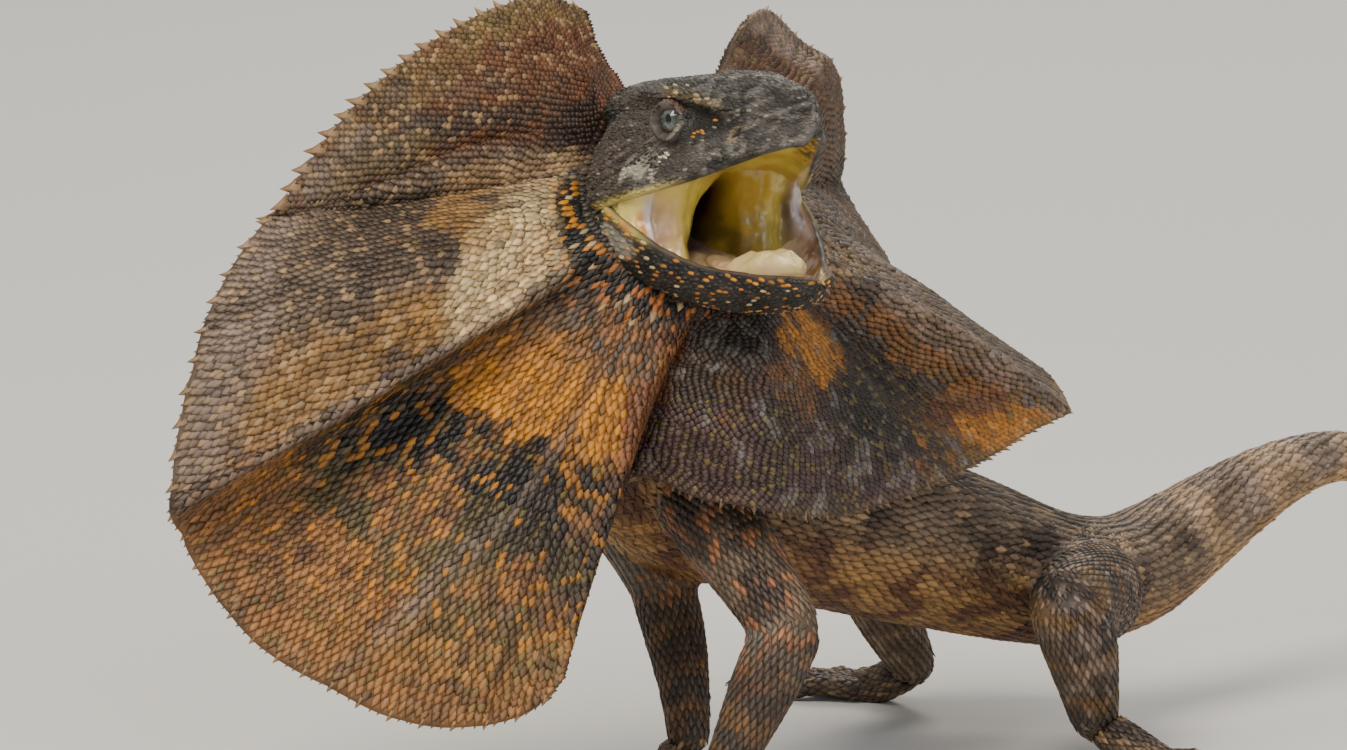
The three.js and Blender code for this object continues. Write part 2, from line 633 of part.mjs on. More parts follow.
// Hand or foot: a palm, five toes and their claws, with flat soles on the floor
function makePaw({ foot, digits }) {
  const { wrist, palm, heading, spread, width } = foot;
  const step = (from, degrees, length, z) => [
    from[0] + Math.cos(degrees * RAD) * length,
    from[1] + Math.sin(degrees * RAD) * length,
    z,
  ];
  const knuckles = step(palm, heading, width * 0.8, 2.4);
  let paw = limbTube([[...wrist, 3.9], [...palm, width * 0.72], [...knuckles, width * 0.66]], 4, 10);
  digits.forEach((length, i) => {
    const turn = heading + spread * (2 - i);
    const root = step(palm, turn, width * 0.3, 2.6);
    const base = step(palm, turn, width, 2.6);
    const bend = step(base, turn * 0.6 + heading * 0.4, length * 0.5, 3.4);
    const tip = step(bend, turn * 0.6 + heading * 0.4, length * 0.5, 1.5);
    paw = paw.add(limbTube([[...root, 2.2], [...base, 2], [...bend, TOE], [...tip, TOE * 0.85]], 3, 6));
    const nail = turn * 0.6 + heading * 0.4;
    const rings = [[-0.5, 1.15, 1.7], [CLAW * 0.5, 0.85, 2.1], [CLAW, 0.2, 0.7]].map(([along, r, z]) => {
      const centre = new THREE.Vector3(...step(tip, nail, along, z));
      const side = new THREE.Vector3(-Math.sin(nail * RAD), Math.cos(nail * RAD), 0);
      return [0, 1, 2, 3, 4].map((k) =>
        centre
          .clone()
          .addScaledVector(side, r * Math.cos(k * 72 * RAD))
          .add(new THREE.Vector3(0, 0, r * Math.sin(k * 72 * RAD)))
          .toArray(),
      );
    });
    paw = paw.add(loft(rings));
  });
  return largest(paw);
}

const floorSlab = (() => {
  const box = new THREE.BoxGeometry(1000, 400, 40).translate(-260, 0, -20);
  const at = mergeVertices(box.deleteAttribute("normal").deleteAttribute("uv"));
  const p = at.attributes.position;
  const points = [...Array(p.count).keys()].map((i) => [p.getX(i), p.getY(i), p.getZ(i)]);
  const index = [...at.index.array];
  return solidOf(points, index.map((_, i) => index.slice(3 * i, 3 * i + 3)).slice(0, index.length / 3));
})();

// Everything is built in order, each solid cut clear of those before it
const solids = new Map();
const keep = (name, solid, material) => solids.set(name, { solid, material });
const get = (name) => solids.get(name).solid;

keep("head", makeHead(), SKIN_GREY);
keep("lower_jaw", clearOf(makeJaw(), get("head")), SKIN_GREY);
keep("mouth_lining", clearOf(makeLining(), get("head"), get("lower_jaw")), MOUTH_YELLOW);
keep("tongue", clearOf(makeTongue(), get("lower_jaw"), get("mouth_lining")), TONGUE_PINK);
for (const [name, side] of [["eye_right", -1], ["eye_left", 1]])
  keep(name, ball(EYE.ball, [EYE.x, side * EYE.side, EYE.z], headFrame, [1, 1, 1], 12, 8), EYE_BLUE);

const spineAt = smoothRows(SPINE);
for (const [name, from, to] of TRUNK) {
  const tail = name.startsWith("tail");
  const length = (a, b) => {
    const [p, q] = [spineAt(a), spineAt(b)];
    return Math.hypot(p[0] - q[0], p[1] - q[1], p[2] - q[2]);
  };
  const inset = (at, towards) => (GAP / 2 / length(at, at + towards * 0.1)) * 0.1 * towards;
  const start = from === 0 ? 0 : from + inset(from, 1);
  const end = to === SPINE.length - 1 ? to : to + inset(to, -1);
  const steps = (to - from) * 3;
  let solid = loft(pathRings(SPINE, start, end, steps, tail ? 12 : 20));
  if (name === "neck") {
    const skull = ["head", "lower_jaw", "mouth_lining"].map(get);
    const core = ball(19, [-4, 0, -1], headFrame, [0.75, 1, 1.05], 20, 14);
    solid = clearOf(largest(solid.subtract(core)), ...skull);
  }
  if (tail) solid = largest(solid.subtract(floorSlab));
  keep(name, solid, SKIN_BROWN);
}

for (const { names, upper, lower, ...paw } of Object.values(LIMBS)) {
  const [top, middle, end] = names;
  const body = top.startsWith("upper_arm") ? ["chest", "belly", "neck"] : ["pelvis", "belly", "tail_1"];
  keep(top, clearOf(limbTube(upper, 6, 12), ...body.map(get)), SKIN_BROWN);
  keep(middle, clearOf(limbTube(lower, 6, 12), get(top), ...body.map(get)), SKIN_BROWN);
  keep(end, clearOf(makePaw(paw).subtract(floorSlab), get(middle)), SKIN_BROWN);
}

// A lobe of the frill is also cut clear of the lobe before it
let lobeBefore = [];
for (const [name, first, last] of LOBES) {
  const flesh = ["head", "lower_jaw", "mouth_lining", "neck", ...lobeBefore];
  keep(name, clearOf(makeLobe(first, last), ...flesh.map(get)), FRILL_SKIN);
  lobeBefore = [name];
}

// The group, with the origin on the floor under the middle of the bounding box
const group = new THREE.Group();
const lizard = new THREE.Group();
for (const [name, { solid, material }] of solids) {
  const mesh = solid.getMesh();
  const geometry = new THREE.BufferGeometry();
  geometry.setAttribute("position", new THREE.BufferAttribute(mesh.vertProperties.slice(), 3));
  geometry.setIndex([...mesh.triVerts]);
  geometry.computeVertexNormals();
  const part = new THREE.Mesh(geometry, material);
  part.name = name;
  lizard.add(part);
}
const bounds = new THREE.Box3().setFromObject(lizard);
const centre = bounds.getCenter(new THREE.Vector3());
lizard.position.set(-centre.x, -centre.y, 0);
group.add(lizard);

export default group;
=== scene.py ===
"""Looks for a life-size frilled lizard in threat display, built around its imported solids.

Shapes are worked out in millimetres in the design frame of the solids (body facing +X, its left
side +Y, floor at zero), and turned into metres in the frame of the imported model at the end.
"""

import json
import logging
import math
from dataclasses import dataclass, field, replace
from enum import Enum
from typing import Callable, Iterable, Sequence

import bpy
import numpy as np
from mathutils import Matrix, Vector
from mathutils.bvhtree import BVHTree

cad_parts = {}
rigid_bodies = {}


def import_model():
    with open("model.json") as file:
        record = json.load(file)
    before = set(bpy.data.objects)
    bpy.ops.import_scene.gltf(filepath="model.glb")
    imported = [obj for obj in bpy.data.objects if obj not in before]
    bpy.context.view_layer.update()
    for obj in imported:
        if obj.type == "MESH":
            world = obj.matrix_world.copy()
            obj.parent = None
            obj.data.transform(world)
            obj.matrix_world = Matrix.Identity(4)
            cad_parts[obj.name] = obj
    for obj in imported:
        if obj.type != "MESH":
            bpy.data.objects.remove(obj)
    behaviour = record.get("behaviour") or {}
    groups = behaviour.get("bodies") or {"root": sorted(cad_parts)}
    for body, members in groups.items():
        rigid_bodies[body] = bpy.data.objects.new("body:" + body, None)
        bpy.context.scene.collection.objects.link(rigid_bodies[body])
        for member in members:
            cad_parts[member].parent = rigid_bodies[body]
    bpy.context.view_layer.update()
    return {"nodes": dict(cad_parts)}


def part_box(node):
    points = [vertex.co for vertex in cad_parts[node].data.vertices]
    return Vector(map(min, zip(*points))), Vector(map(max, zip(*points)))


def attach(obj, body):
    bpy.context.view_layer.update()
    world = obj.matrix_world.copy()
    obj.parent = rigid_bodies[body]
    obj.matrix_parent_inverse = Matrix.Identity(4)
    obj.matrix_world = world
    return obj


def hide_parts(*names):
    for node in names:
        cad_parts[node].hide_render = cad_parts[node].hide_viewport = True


LOG = logging.getLogger("lizard")
Array = np.ndarray

# Width and height that the camera's framing is given in
IMAGE_WIDTH = 1347
IMAGE_HEIGHT = 750
SENSOR_MM = 36.0
# Seed of all random draws
SEED = 20
# Metres in a millimetre
MM = 0.001
# Share of their brightness that the frill's markings keep on the skin between scales
UNDER_SCALES = 0.5
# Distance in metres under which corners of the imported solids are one
WELD = 1e-6

# Jaw's hinge in the design frame, the head's turn and lift, and how far the jaw is open, in degrees
HINGE = np.array([0.0, 0.0, 122.0])
HEAD_YAW = 76.0
HEAD_PITCH = 18.7
GAPE = 30.0
# Eyeballs in the head's frame: centre, radius, turn of the socket, half opening of the lids across
# and up, and turn of the gaze, in degrees
EYE_X = 15.0
EYE_SIDE = 9.9
EYE_Z = 12.9
EYE_BALL = 4.6
EYE_FORWARD = 17.0
EYE_OPEN = (37.0, 33.0)
GAZE_FORWARD = 13.0
# Darkest value that a painted vertex takes
DARKEST = 0.002

# Stations of the upper head: x, half width and height of the lip, half width and height of the
# brow edge, height of the crown
SKULL = np.array([
    [-15, 13, 0, 9, 13, 18],
    [-12, 17.5, 0, 12, 18, 22.5],
    [-5, 21, 0, 14.8, 20.4, 24.6],
    [4, 20.4, 0, 14, 20.6, 23.4],
    [13, 17, 0, 12.8, 19, 21.6],
    [22, 13.2, 0.2, 9.8, 15.4, 20],
    [30, 9.8, 0.7, 7.2, 11.4, 18],
    [37, 6.9, 1.1, 5, 8.8, 15.4],
    [43, 4.3, 1, 3.4, 7, 12.6],
    [46.8, 2.3, 0.6, 2, 6, 10.8],
    [49.3, 0.7, 2.6, 0.7, 5.8, 9],
])
# Stations of the lower jaw: x, half width, lip height, depth of the mouth's floor and of the jaw
MANDIBLE = np.array([
    [-8, 14, 0, 6, 10],
    [-5, 18.4, 0, 8, 13.6],
    [0, 21, 0, 9, 15.5],
    [9, 20, -1.5, 8, 14.5],
    [18, 17.2, -3.3, 6.0, 11.7],
    [27, 13.2, -3.7, 4.4, 9.7],
    [36, 8.9, -2.5, 3.6, 7.9],
    [43, 5.4, -0.8, 2.8, 6.2],
    [46.5, 3.2, 0.0, 1.9, 4.7],
    [48.5, 0.9, 0.2, 0.7, 2.6],
])
# Lining of the mouth: distance from the middle, back, then reach at palate, half height and floor
LINING = np.array([
    [0, -9, 10, -4, -7],
    [1.7, -9, 10, -2, -5],
    [5, -7, 11, 5, 3],
    [9.5, -3, 12, 7.6, 6],
    [13.5, 0, 11, 5.6, 4],
    [16.2, -1, 9.5, 6, 7.5],
    [18.4, -1, 6.6, 5, 7.5],
    [19.8, -1, 3.6, 3.2, 4],
])
# Frill ribs: root and rim as degrees round the head, distance from its axis and distance behind
# the hinge, then forward belly and length of the rim spine
RIBS = np.array([
    [19, 25, 9, 20, 43, 8, -2, 1],
    [30, 24.5, 10, 31, 50, 7, -1, 1.6],
    [42, 23, 11, 50, 58, 12, 2, 2.4],
    [55, 22, 11, 66, 66, 19, 3, 3.2],
    [63, 22, 11, 81, 75, 26, 0, 3.4],
    [68, 22, 11, 85, 79, 27, -4, 2.6],
    [77, 22, 10, 95, 92, 29, 7, 2.2],
    [86, 22.5, 8, 104, 102, 33, 10, 2.2],
    [97, 23, 6, 111, 109, 37, 8, 2],
    [109, 23.5, 2, 114, 113, 37, 5, 1.4],
    [114, 23.5, 1, 118, 111, 44, -6, 1],
    [122, 23, 0, 128, 115, 38, -5, 1],
    [132, 22.5, -2, 138, 116, 26, -1, 1.1],
    [142, 22, -3, 147, 113, 15, 2, 0.9],
    [150, 21.5, -4, 154, 102, 9, 0, 0.9],
    [157, 21, -5, 155, 85, 12, -3, 0.7],
    [163, 20.5, -6, 156, 60, 20, -4, 0.5],
    [169, 20, -6, 161, 54, 10, 0, 0.6],
    [176, 20, -6, 171, 58, 2, 3, 0.7],
    [184, 20, -6, 183, 62, -2, 4, 0.8],
    [195, 20, -6, 202, 67, 5, 2, 0.8],
    [207, 21, -5, 222, 76, 14, -1, 1],
    [220, 22, -3, 238, 91, 29, -6, 1],
    [238, 23, 0, 246, 104, 36, 5, 1.4],
    [246, 23.5, 2, 251, 101, 44, 3, 1.6],
    [254, 23.5, 4, 256, 90, 55, 5, 2],
    [262, 23, 6, 262, 78, 62, 5, 2],
    [272, 22.5, 8, 272, 69, 60, 4, 2],
    [284, 22, 10, 281, 63, 55, -2, 2.2],
    [294, 22, 11, 291, 63, 45, 3, 2.4],
    [302, 22, 11, 300, 63, 37, 3, 2.2],
    [309, 22, 11, 310, 57, 31, 2, 1.8],
    [320, 24, 10, 321, 53, 24, 0, 1.4],
    [334, 25, 9, 328, 42, 15, -2, 1],
])
LOBE_ENDS = (0, 5, 9, 16, 20, 23, 28, 33)
# Spine from behind the head to the tail's tip: centre, half width, height above and depth below
# it, degrees that the body faces there to the left of +X
SPINE = np.array([
    [-3.5, -10, 120, 13, 12, 11, 76],
    [2, -11, 108, 15, 13, 18, 68],
    [5, -15, 93, 16, 14, 18, 50],
    [3, -18.5, 79, 18.5, 15, 18, 28],
    [-8, -20, 68, 20.5, 15, 19, 12],
    [-30, -22, 60, 21.5, 15, 20, 2],
    [-58, -22, 52, 23.5, 15.5, 20.5, -3],
    [-84, -19, 43, 22, 14.5, 18.5, -8],
    [-108, -14, 34.5, 18, 12, 15.5, -9],
    [-124, -11, 32.5, 14.5, 10.8, 13.4, -7],
    [-138, -10, 35, 11.6, 10.4, 11.2, -3],
    [-162, -10, 43.5, 8.2, 8.2, 8.4, 2],
    [-184, -12, 48, 5.9, 5.9, 6, 6],
    [-204, -14, 46.5, 4.9, 4.9, 4.9, 8],
    [-236, -19, 34, 4.5, 4.5, 4.5, 9],
    [-270, -25, 17, 4.2, 4.2, 4.2, 8],
    [-304, -30, 6, 3.9, 3.9, 3.9, 5],
    [-344, -31, 3.3, 3.5, 3.5, 3.5, -3],
    [-400, -24, 2.8, 3.1, 3.1, 3.1, -10],
    [-460, -10, 2.3, 2.6, 2.6, 2.6, -13],
    [-520, 4, 1.7, 1.9, 1.9, 1.9, -11],
    [-575, 10, 0.9, 0.9, 0.9, 0.9, -5],
], dtype=float)
# Limbs: joints from the body outwards, with the half thickness at each
LIMBS = {
    "upper_arm_left": [[-3, -8, 67, 9.5], [-1, 3, 60, 9], [-1, 14, 50, 7.4], [-2, 22.5, 41, 6.4]],
    "forearm_left": [[-2, 22.5, 41, 6.6], [3, 22, 32, 6.4], [8, 20, 21, 5], [12, 18.2, 11.5, 4]],
    "upper_arm_right": [[-6, -31, 66, 9.5], [-10, -34, 57, 8.8], [-15, -34, 48, 7.2], [-19, -33, 40, 6.2]],
    "forearm_right": [[-19, -33, 40, 6.4], [-18, -28, 31, 6], [-15, -21.5, 20.5, 4.8], [-12, -17, 11.5, 4]],
    "thigh_left": [[-113, -8, 31, 11], [-105, 3, 32, 10.5], [-93, 12, 34, 9], [-83, 17, 35, 7.4]],
    "shin_left": [[-83, 17, 35, 7.6], [-86, 18, 27, 7.6], [-90, 17, 17, 6], [-93, 16, 9, 4.6]],
    "thigh_right": [[-115, -18, 31, 11], [-108, -30, 32, 10.5], [-98, -41, 34, 9], [-89, -47, 35, 7.4]],
    "shin_right": [[-89, -47, 35, 7.6], [-94, -49, 27, 7.6], [-100, -49.5, 17, 6], [-105, -49, 9, 4.6]],
}
# Paws: palm, heading, spread between toes, width of the palm and the toes' lengths
PAWS = {
    "hand_left": ((17, 18.5, 3.2), 14, 32, 5.2, (9, 12.5, 14, 13, 8.5)),
    "hand_right": ((-9, -22, 3.2), -38, 32, 5.2, (8.5, 13, 14, 12.5, 9)),
    "foot_left": ((-96, 27, 3.4), 88, 24, 5.4, (10, 15, 20, 25, 14)),
    "foot_right": ((-105, -60, 3.4), -78, 24, 5.4, (14, 25, 20, 15, 10)),
}
TRUNK_NODES = (
    "neck", "chest", "belly", "pelvis", "tail_1", "tail_2", "tail_3", "tail_4", "tail_5",
    "upper_arm_left", "forearm_left", "upper_arm_right", "forearm_right",
    "thigh_left", "shin_left", "thigh_right", "shin_right",
)
# Paws, with the part of a limb that each one grows from
PAW_ENDS = {
    "hand_left": "forearm_left", "hand_right": "forearm_right",
    "foot_left": "shin_left", "foot_right": "shin_right",
}
PAW_NODES = tuple(PAW_ENDS)
HEAD_NODES = ("head", "lower_jaw", "mouth_lining")
FRILL_NODES = (
    "frill_right_upper", "frill_right_middle", "frill_right_lower", "frill_throat",
    "frill_left_lower", "frill_left_middle", "frill_left_upper",
)


class Paint(Enum):
    """Colours of the animal and the studio as sRGB hex values."""

    SLATE = "#4a4640"
    SLATE_DARK = "#2b2926"
    SLATE_PALE = "#77716a"
    BLACK = "#15120f"
    BROWN = "#6b5845"
    UMBER = "#3f3126"
    COPPER = "#9a6038"
    TAN = "#b08e62"
    OCHRE = "#a8772f"
    RUST = "#73411f"
    ORANGE = "#a9622a"
    AMBER = "#bd7a1e"
    CREAM = "#d6ba88"
    OLIVE = "#6a5a2c"
    PLUM = "#4a3430"
    BONE = "#c9bfa6"
    LEMON = "#c9b24a"
    LINING = "#a88a2c"
    # Painted shade of the throat's slit and of the back of the mouth
    THROAT_SHADE = "#2a0d08"
    LAVENDER = "#b3a6b4"
    LIP = "#cdb964"
    TONGUE = "#ddc68e"
    FLESH = "#cfa68c"
    SHED = "#a09a88"
    CHESTNUT = "#5f3a1f"
    CLAY = "#96622f"
    ASH = "#8d7869"
    IVORY = "#e4c08a"
    IRIS = "#505a58"
    IRIS_DARK = "#2d3536"
    IRIS_INNER = "#5c5a4c"
    IRIS_EDGE = "#23292a"
    EYE_SOCKET = "#3a2c22"
    PUPIL = "#050505"
    HORN = "#3b3129"
    HORN_PALE = "#8a7a62"
    CARD = "#d9d7d1"
    DAYLIGHT = "#e9eef0"
    WARM_LIGHT = "#fff6ea"
    COOL_LIGHT = "#eef3ff"
    BACK_LIGHT = "#fff8ee"


Colour = Paint | Array


def linear(colour: Colour) -> Array:
    """Linear red, green and blue of a Paint; arrays are linear already and pass unchanged."""
    if not isinstance(colour, Paint):
        return colour
    text = colour.value
    raw = np.array([int(text[i : i + 2], 16) for i in (1, 3, 5)]) / 255
    return np.where(raw <= 0.04045, raw / 12.92, ((raw + 0.055) / 1.055) ** 2.4)


def mix(first: Colour, second: Colour, share: Array) -> Array:
    """Blends two colours, or arrays of them, by a share from 0 to 1."""
    s = np.clip(share, 0, 1)[..., None]
    return linear(first) * (1 - s) + linear(second) * s


def layered(base: Colour, *layers: tuple[Colour, Array]) -> Array:
    """Lays colours over a base one after the other, each by its own share."""
    for colour, share in layers:
        base = mix(base, colour, share)
    return base


def ramp(low: float, high: float, value: Array) -> Array:
    """Smooth step of a value from 0 at low to 1 at high."""
    t = np.clip((value - low) / (high - low), 0, 1)
    return t * t * (3 - 2 * t)


def bump(value: Array, centre: float, width: float) -> Array:
    """Bell shape of 1 at the centre that fades over the width."""
    return np.exp(-(((value - centre) / width) ** 2))


# Primes that turn the corners of the noise's cells into scattered numbers from 0 to the top
HASH_PRIMES = np.array([73856093, 19349663, 83492791])
HASH_MIX = 1274126177
HASH_TOP = 0xFFFF


def noise(points: Array, size: float, seed: int = 0, octaves: int = 3) -> Array:
    """Fractal value noise about 0, between roughly -1 and 1.

    Args:
        points: Places, n by 3.
        size: Width of the largest blobs, in the points' unit.
        seed: Number that picks another pattern.
        octaves: Number of layers, each half as wide as the last.

    Returns:
        One value a point.
    """
    total = np.zeros(len(points))
    weight = 0.0
    for octave in range(octaves):
        q = points / (size / 2**octave) + 57.3 * (seed + 11 * octave)
        cell = np.floor(q).astype(np.int64)
        f = q - cell
        f = f * f * (3 - 2 * f)
        value = np.zeros(len(points))
        for corner in range(8):
            step = np.array([corner & 1, (corner >> 1) & 1, (corner >> 2) & 1])
            c = cell + step
            h = np.bitwise_xor.reduce(c * HASH_PRIMES, axis=1)
            h = (h ^ (h >> 13)) * HASH_MIX
            h = (h ^ (h >> 16)) & HASH_TOP
            share = np.prod(np.where(step, f, 1 - f), axis=1)
            value += share * (2 * h / HASH_TOP - 1)
        total += value * 0.5**octave
        weight += 0.5**octave
    return total / weight * 1.6


def smooth_rows(rows: Array, u: Array) -> Array:
    """Rows of numbers as a smooth function of the row number, with the end rows repeated.

    Args:
        rows: Table, n by k.
        u: Row numbers, any length.

    Returns:
        Values, len(u) by k.
    """
    u = np.clip(np.asarray(u, dtype=float), 0, len(rows) - 1)
    i = np.minimum(len(rows) - 2, np.floor(u).astype(int))
    t = (u - i)[:, None]
    a = rows[np.maximum(i - 1, 0)]
    b = rows[i]
    c = rows[i + 1]
    d = rows[np.minimum(i + 2, len(rows) - 1)]
    return b + 0.5 * t * (c - a + t * (2 * a - 5 * b + 4 * c - d + t * (3 * (b - c) + d - a)))


def at_station(table: Array, place: Array) -> Array:
    """Rows of a table of stations at places given in its first column."""
    return smooth_rows(table, np.interp(place, table[:, 0], np.arange(len(table))))


def travelled(line: Array) -> Array:
    """Length run along a line of places up to each of them."""
    return np.concatenate([[0], np.cumsum(np.linalg.norm(np.diff(line, axis=0), axis=1))])


def full_turn(count: int) -> Array:
    """Angles evenly round a circle, in radians."""
    return np.arange(count) / count * 2 * np.pi


def unit(vectors: Array) -> Array:
    """Vectors scaled to length 1."""
    return vectors / np.maximum(np.linalg.norm(vectors, axis=-1, keepdims=True), 1e-9)


def head_axes(gape: float = 0.0) -> Array:
    """Axes of the head, or of the jaw when it is opened by gape degrees, as rows."""
    yaw, pitch = math.radians(HEAD_YAW), math.radians(HEAD_PITCH)
    forward = np.array([
        math.cos(yaw) * math.cos(pitch), math.sin(yaw) * math.cos(pitch), math.sin(pitch)
    ])
    left = np.array([-math.sin(yaw), math.cos(yaw), 0.0])
    up = np.cross(forward, left)
    c, s = math.cos(math.radians(gape)), math.sin(math.radians(gape))
    return np.array([forward * c - up * s, left, forward * s + up * c])


def from_head(points: Array, gape: float = 0.0) -> Array:
    """Places in the head's frame, or the opened jaw's, as places in the design frame."""
    return HINGE + points @ head_axes(gape)


def to_head(points: Array, gape: float = 0.0) -> Array:
    """Places in the design frame as places in the head's frame, or the opened jaw's."""
    return (points - HINGE) @ head_axes(gape).T


@dataclass
class Shift:
    """Move from the design frame, in millimetres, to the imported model's frame, in metres."""

    offset: Array = field(default_factory=lambda: np.zeros(3))

    def measure(self) -> None:
        """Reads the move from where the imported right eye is."""
        low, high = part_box("eye_right")
        eye = from_head(np.array([[EYE_X, -EYE_SIDE, EYE_Z]]))[0] * MM
        self.offset = (np.array(low) + np.array(high)) / 2 - eye
        self.offset[2] = 0.0

    def model(self, points: Array) -> Array:
        """Design places as model places."""
        return points * MM + self.offset

    def design(self, points: Array) -> Array:
        """Model places as design places."""
        return (points - self.offset) / MM


SHIFT = Shift()


def mesh_object(name: str, points: Array, faces: Array, marks: Array | None = None) -> bpy.types.Object:
    """Makes a mesh object at the origin from places in the model's frame.

    Args:
        name: Name of the piece.
        points: Vertices, n by 3, in metres.
        faces: Triangles or quads, m by 3 or 4.
        marks: Linear colour of each vertex, if any.

    Returns:
        The new object, linked to the scene.
    """
    mesh = bpy.data.meshes.new(name)
    sides = faces.shape[1]
    mesh.vertices.add(len(points))
    mesh.vertices.foreach_set("co", np.ascontiguousarray(points, dtype=np.float32).ravel())
    mesh.loops.add(faces.size)
    mesh.loops.foreach_set("vertex_index", np.ascontiguousarray(faces, dtype=np.int32).ravel())
    mesh.polygons.add(len(faces))
    mesh.polygons.foreach_set("loop_start", np.arange(0, faces.size, sides, dtype=np.int32))
    mesh.update(calc_edges=True)
    mesh.validate()
    made = bpy.data.objects.new(name, mesh)
    bpy.context.scene.collection.objects.link(made)
    if marks is not None:
        paint(made, marks)
    return made


def paint(piece: bpy.types.Object, marks: Array) -> None:
    """Stores a linear colour for each vertex in the attribute Mark."""
    mesh = piece.data
    layer = mesh.color_attributes.get("Mark")
    if layer is None:
        layer = mesh.color_attributes.new("Mark", "FLOAT_COLOR", "POINT")
    rgba = np.ones((len(mesh.vertices), 4), dtype=np.float32)
    rgba[:, :3] = np.clip(marks, DARKEST, 1)
    layer.data.foreach_set("color", rgba.ravel())


def mend_marks(piece: bpy.types.Object, passes: int = 8) -> None:
    """Gives vertices that a union left black or white the mean colour of their neighbours."""
    mesh = piece.data
    layer = mesh.color_attributes["Mark"]
    rgba = np.empty(len(mesh.vertices) * 4, dtype=np.float32)
    layer.data.foreach_get("color", rgba)
    marks = rgba.reshape(-1, 4)[:, :3].astype(float)
    bad = (marks.min(axis=1) > 0.85) | (marks.max(axis=1) < 0.001)
    LOG.info("%s: %d vertices without a colour", piece.name, bad.sum())
    ends = np.empty(len(mesh.edges) * 2, dtype=np.int32)
    mesh.edges.foreach_get("vertices", ends)
    a, b = ends.reshape(-1, 2).T
    for _ in range(passes):
        total = np.zeros((len(marks), 4))
        for here, there in ((a, b), (b, a)):
            use = bad[here] & ~bad[there]
            np.add.at(total, here[use], np.column_stack([marks[there[use]], np.ones(use.sum())]))
        found = bad & (total[:, 3] > 0)
        marks[found] = total[found, :3] / total[found, 3:]
        bad = bad & ~found
    paint(piece, marks)


def vertices(piece: bpy.types.Object) -> Array:
    """Places of a piece's vertices, n by 3, in metres."""
    places = np.empty(len(piece.data.vertices) * 3, dtype=np.float32)
    piece.data.vertices.foreach_get("co", places)
    return places.reshape(-1, 3).astype(float)


def normals(piece: bpy.types.Object) -> Array:
    """Normals of a piece's vertices, n by 3."""
    ways = np.empty(len(piece.data.vertices) * 3, dtype=np.float32)
    piece.data.vertices.foreach_get("normal", ways)
    return ways.reshape(-1, 3).astype(float)


def move_to(piece: bpy.types.Object, places: Array) -> None:
    """Moves a piece's vertices to new places in metres."""
    piece.data.vertices.foreach_set("co", places.astype(np.float32).ravel())
    piece.data.update()


def choose(pieces: Iterable[bpy.types.Object]) -> None:
    """Selects only these objects and makes the first one active."""
    bpy.ops.object.select_all(action="DESELECT")
    chosen = list(pieces)
    for piece in chosen:
        piece.select_set(True)
    bpy.context.view_layer.objects.active = chosen[0]


def finish_modifier(piece: bpy.types.Object, kind: str, **settings: object) -> None:
    """Adds a modifier of a kind with its settings and applies it."""
    choose([piece])
    modifier = piece.modifiers.new(kind.title(), kind)
    for key, value in settings.items():
        setattr(modifier, key, value)
    bpy.ops.object.modifier_apply(modifier=modifier.name)


def shade_smooth(piece: bpy.types.Object) -> None:
    """Shades a piece smooth all over."""
    choose([piece])
    bpy.ops.object.shade_smooth()


def edit_whole(piece: bpy.types.Object, operation: Callable[..., object], **settings: object) -> None:
    """Runs a mesh operation on all of a piece."""
    choose([piece])
    bpy.ops.object.mode_set(mode="EDIT")
    bpy.ops.mesh.select_all(action="SELECT")
    operation(**settings)
    bpy.ops.object.mode_set(mode="OBJECT")


def joined(pieces: Sequence[bpy.types.Object], name: str) -> bpy.types.Object:
    """Joins pieces into one object with a name."""
    choose(pieces)
    bpy.ops.object.join()
    made = bpy.context.view_layer.objects.active
    made.name = name
    return made


def ring_faces(rings: int, around: int) -> list[tuple[int, int, int, int]]:
    """Quads between rings of vertices that each close on themselves."""
    faces = []
    for i in range(rings - 1):
        for j in range(around):
            k = (j + 1) % around
            faces.append((i * around + j, i * around + k, (i + 1) * around + k, (i + 1) * around + j))
    return faces


def closed_loft(name: str, rings: Array) -> bpy.types.Object:
    """A closed solid through rings of places, with a fan at each end.

    Args:
        name: Name of the piece.
        rings: Places in metres, rings by corners by 3.

    Returns:
        The new object, its faces pointing outwards.
    """
    count, around, _ = rings.shape
    points = list(rings.reshape(-1, 3)) + [rings[0].mean(axis=0), rings[-1].mean(axis=0)]
    quads = np.array(ring_faces(count, around))
    faces = list(quads[:, [0, 1, 2]]) + list(quads[:, [0, 2, 3]])
    last = (count - 1) * around
    for j in range(around):
        k = (j + 1) % around
        faces.append([k, j, count * around])
        faces.append([last + j, last + k, count * around + 1])
    made = mesh_object(name, np.array(points), np.array(faces))
    edit_whole(made, bpy.ops.mesh.normals_make_consistent, inside=False)
    return made


def copy_nodes(nodes: dict, names: Sequence[str], name: str) -> bpy.types.Object:
    """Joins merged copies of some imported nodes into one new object.

    Args:
        nodes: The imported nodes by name.
        names: Those to copy.
        name: Name of the new object.

    Returns:
        The new object.
    """
    copies = []
    for node in names:
        copy = nodes[node].copy()
        copy.data = nodes[node].data.copy()
        copy.parent = None
        copy.matrix_world = Matrix.Identity(4)
        copy.name = f"{name}_{node}"
        bpy.context.scene.collection.objects.link(copy)
        copies.append(copy)
    made = joined(copies, name)
    made.data.materials.clear()
    for layer in list(made.data.uv_layers):
        made.data.uv_layers.remove(layer)
    edit_whole(made, bpy.ops.mesh.remove_doubles, threshold=WELD)
    return made


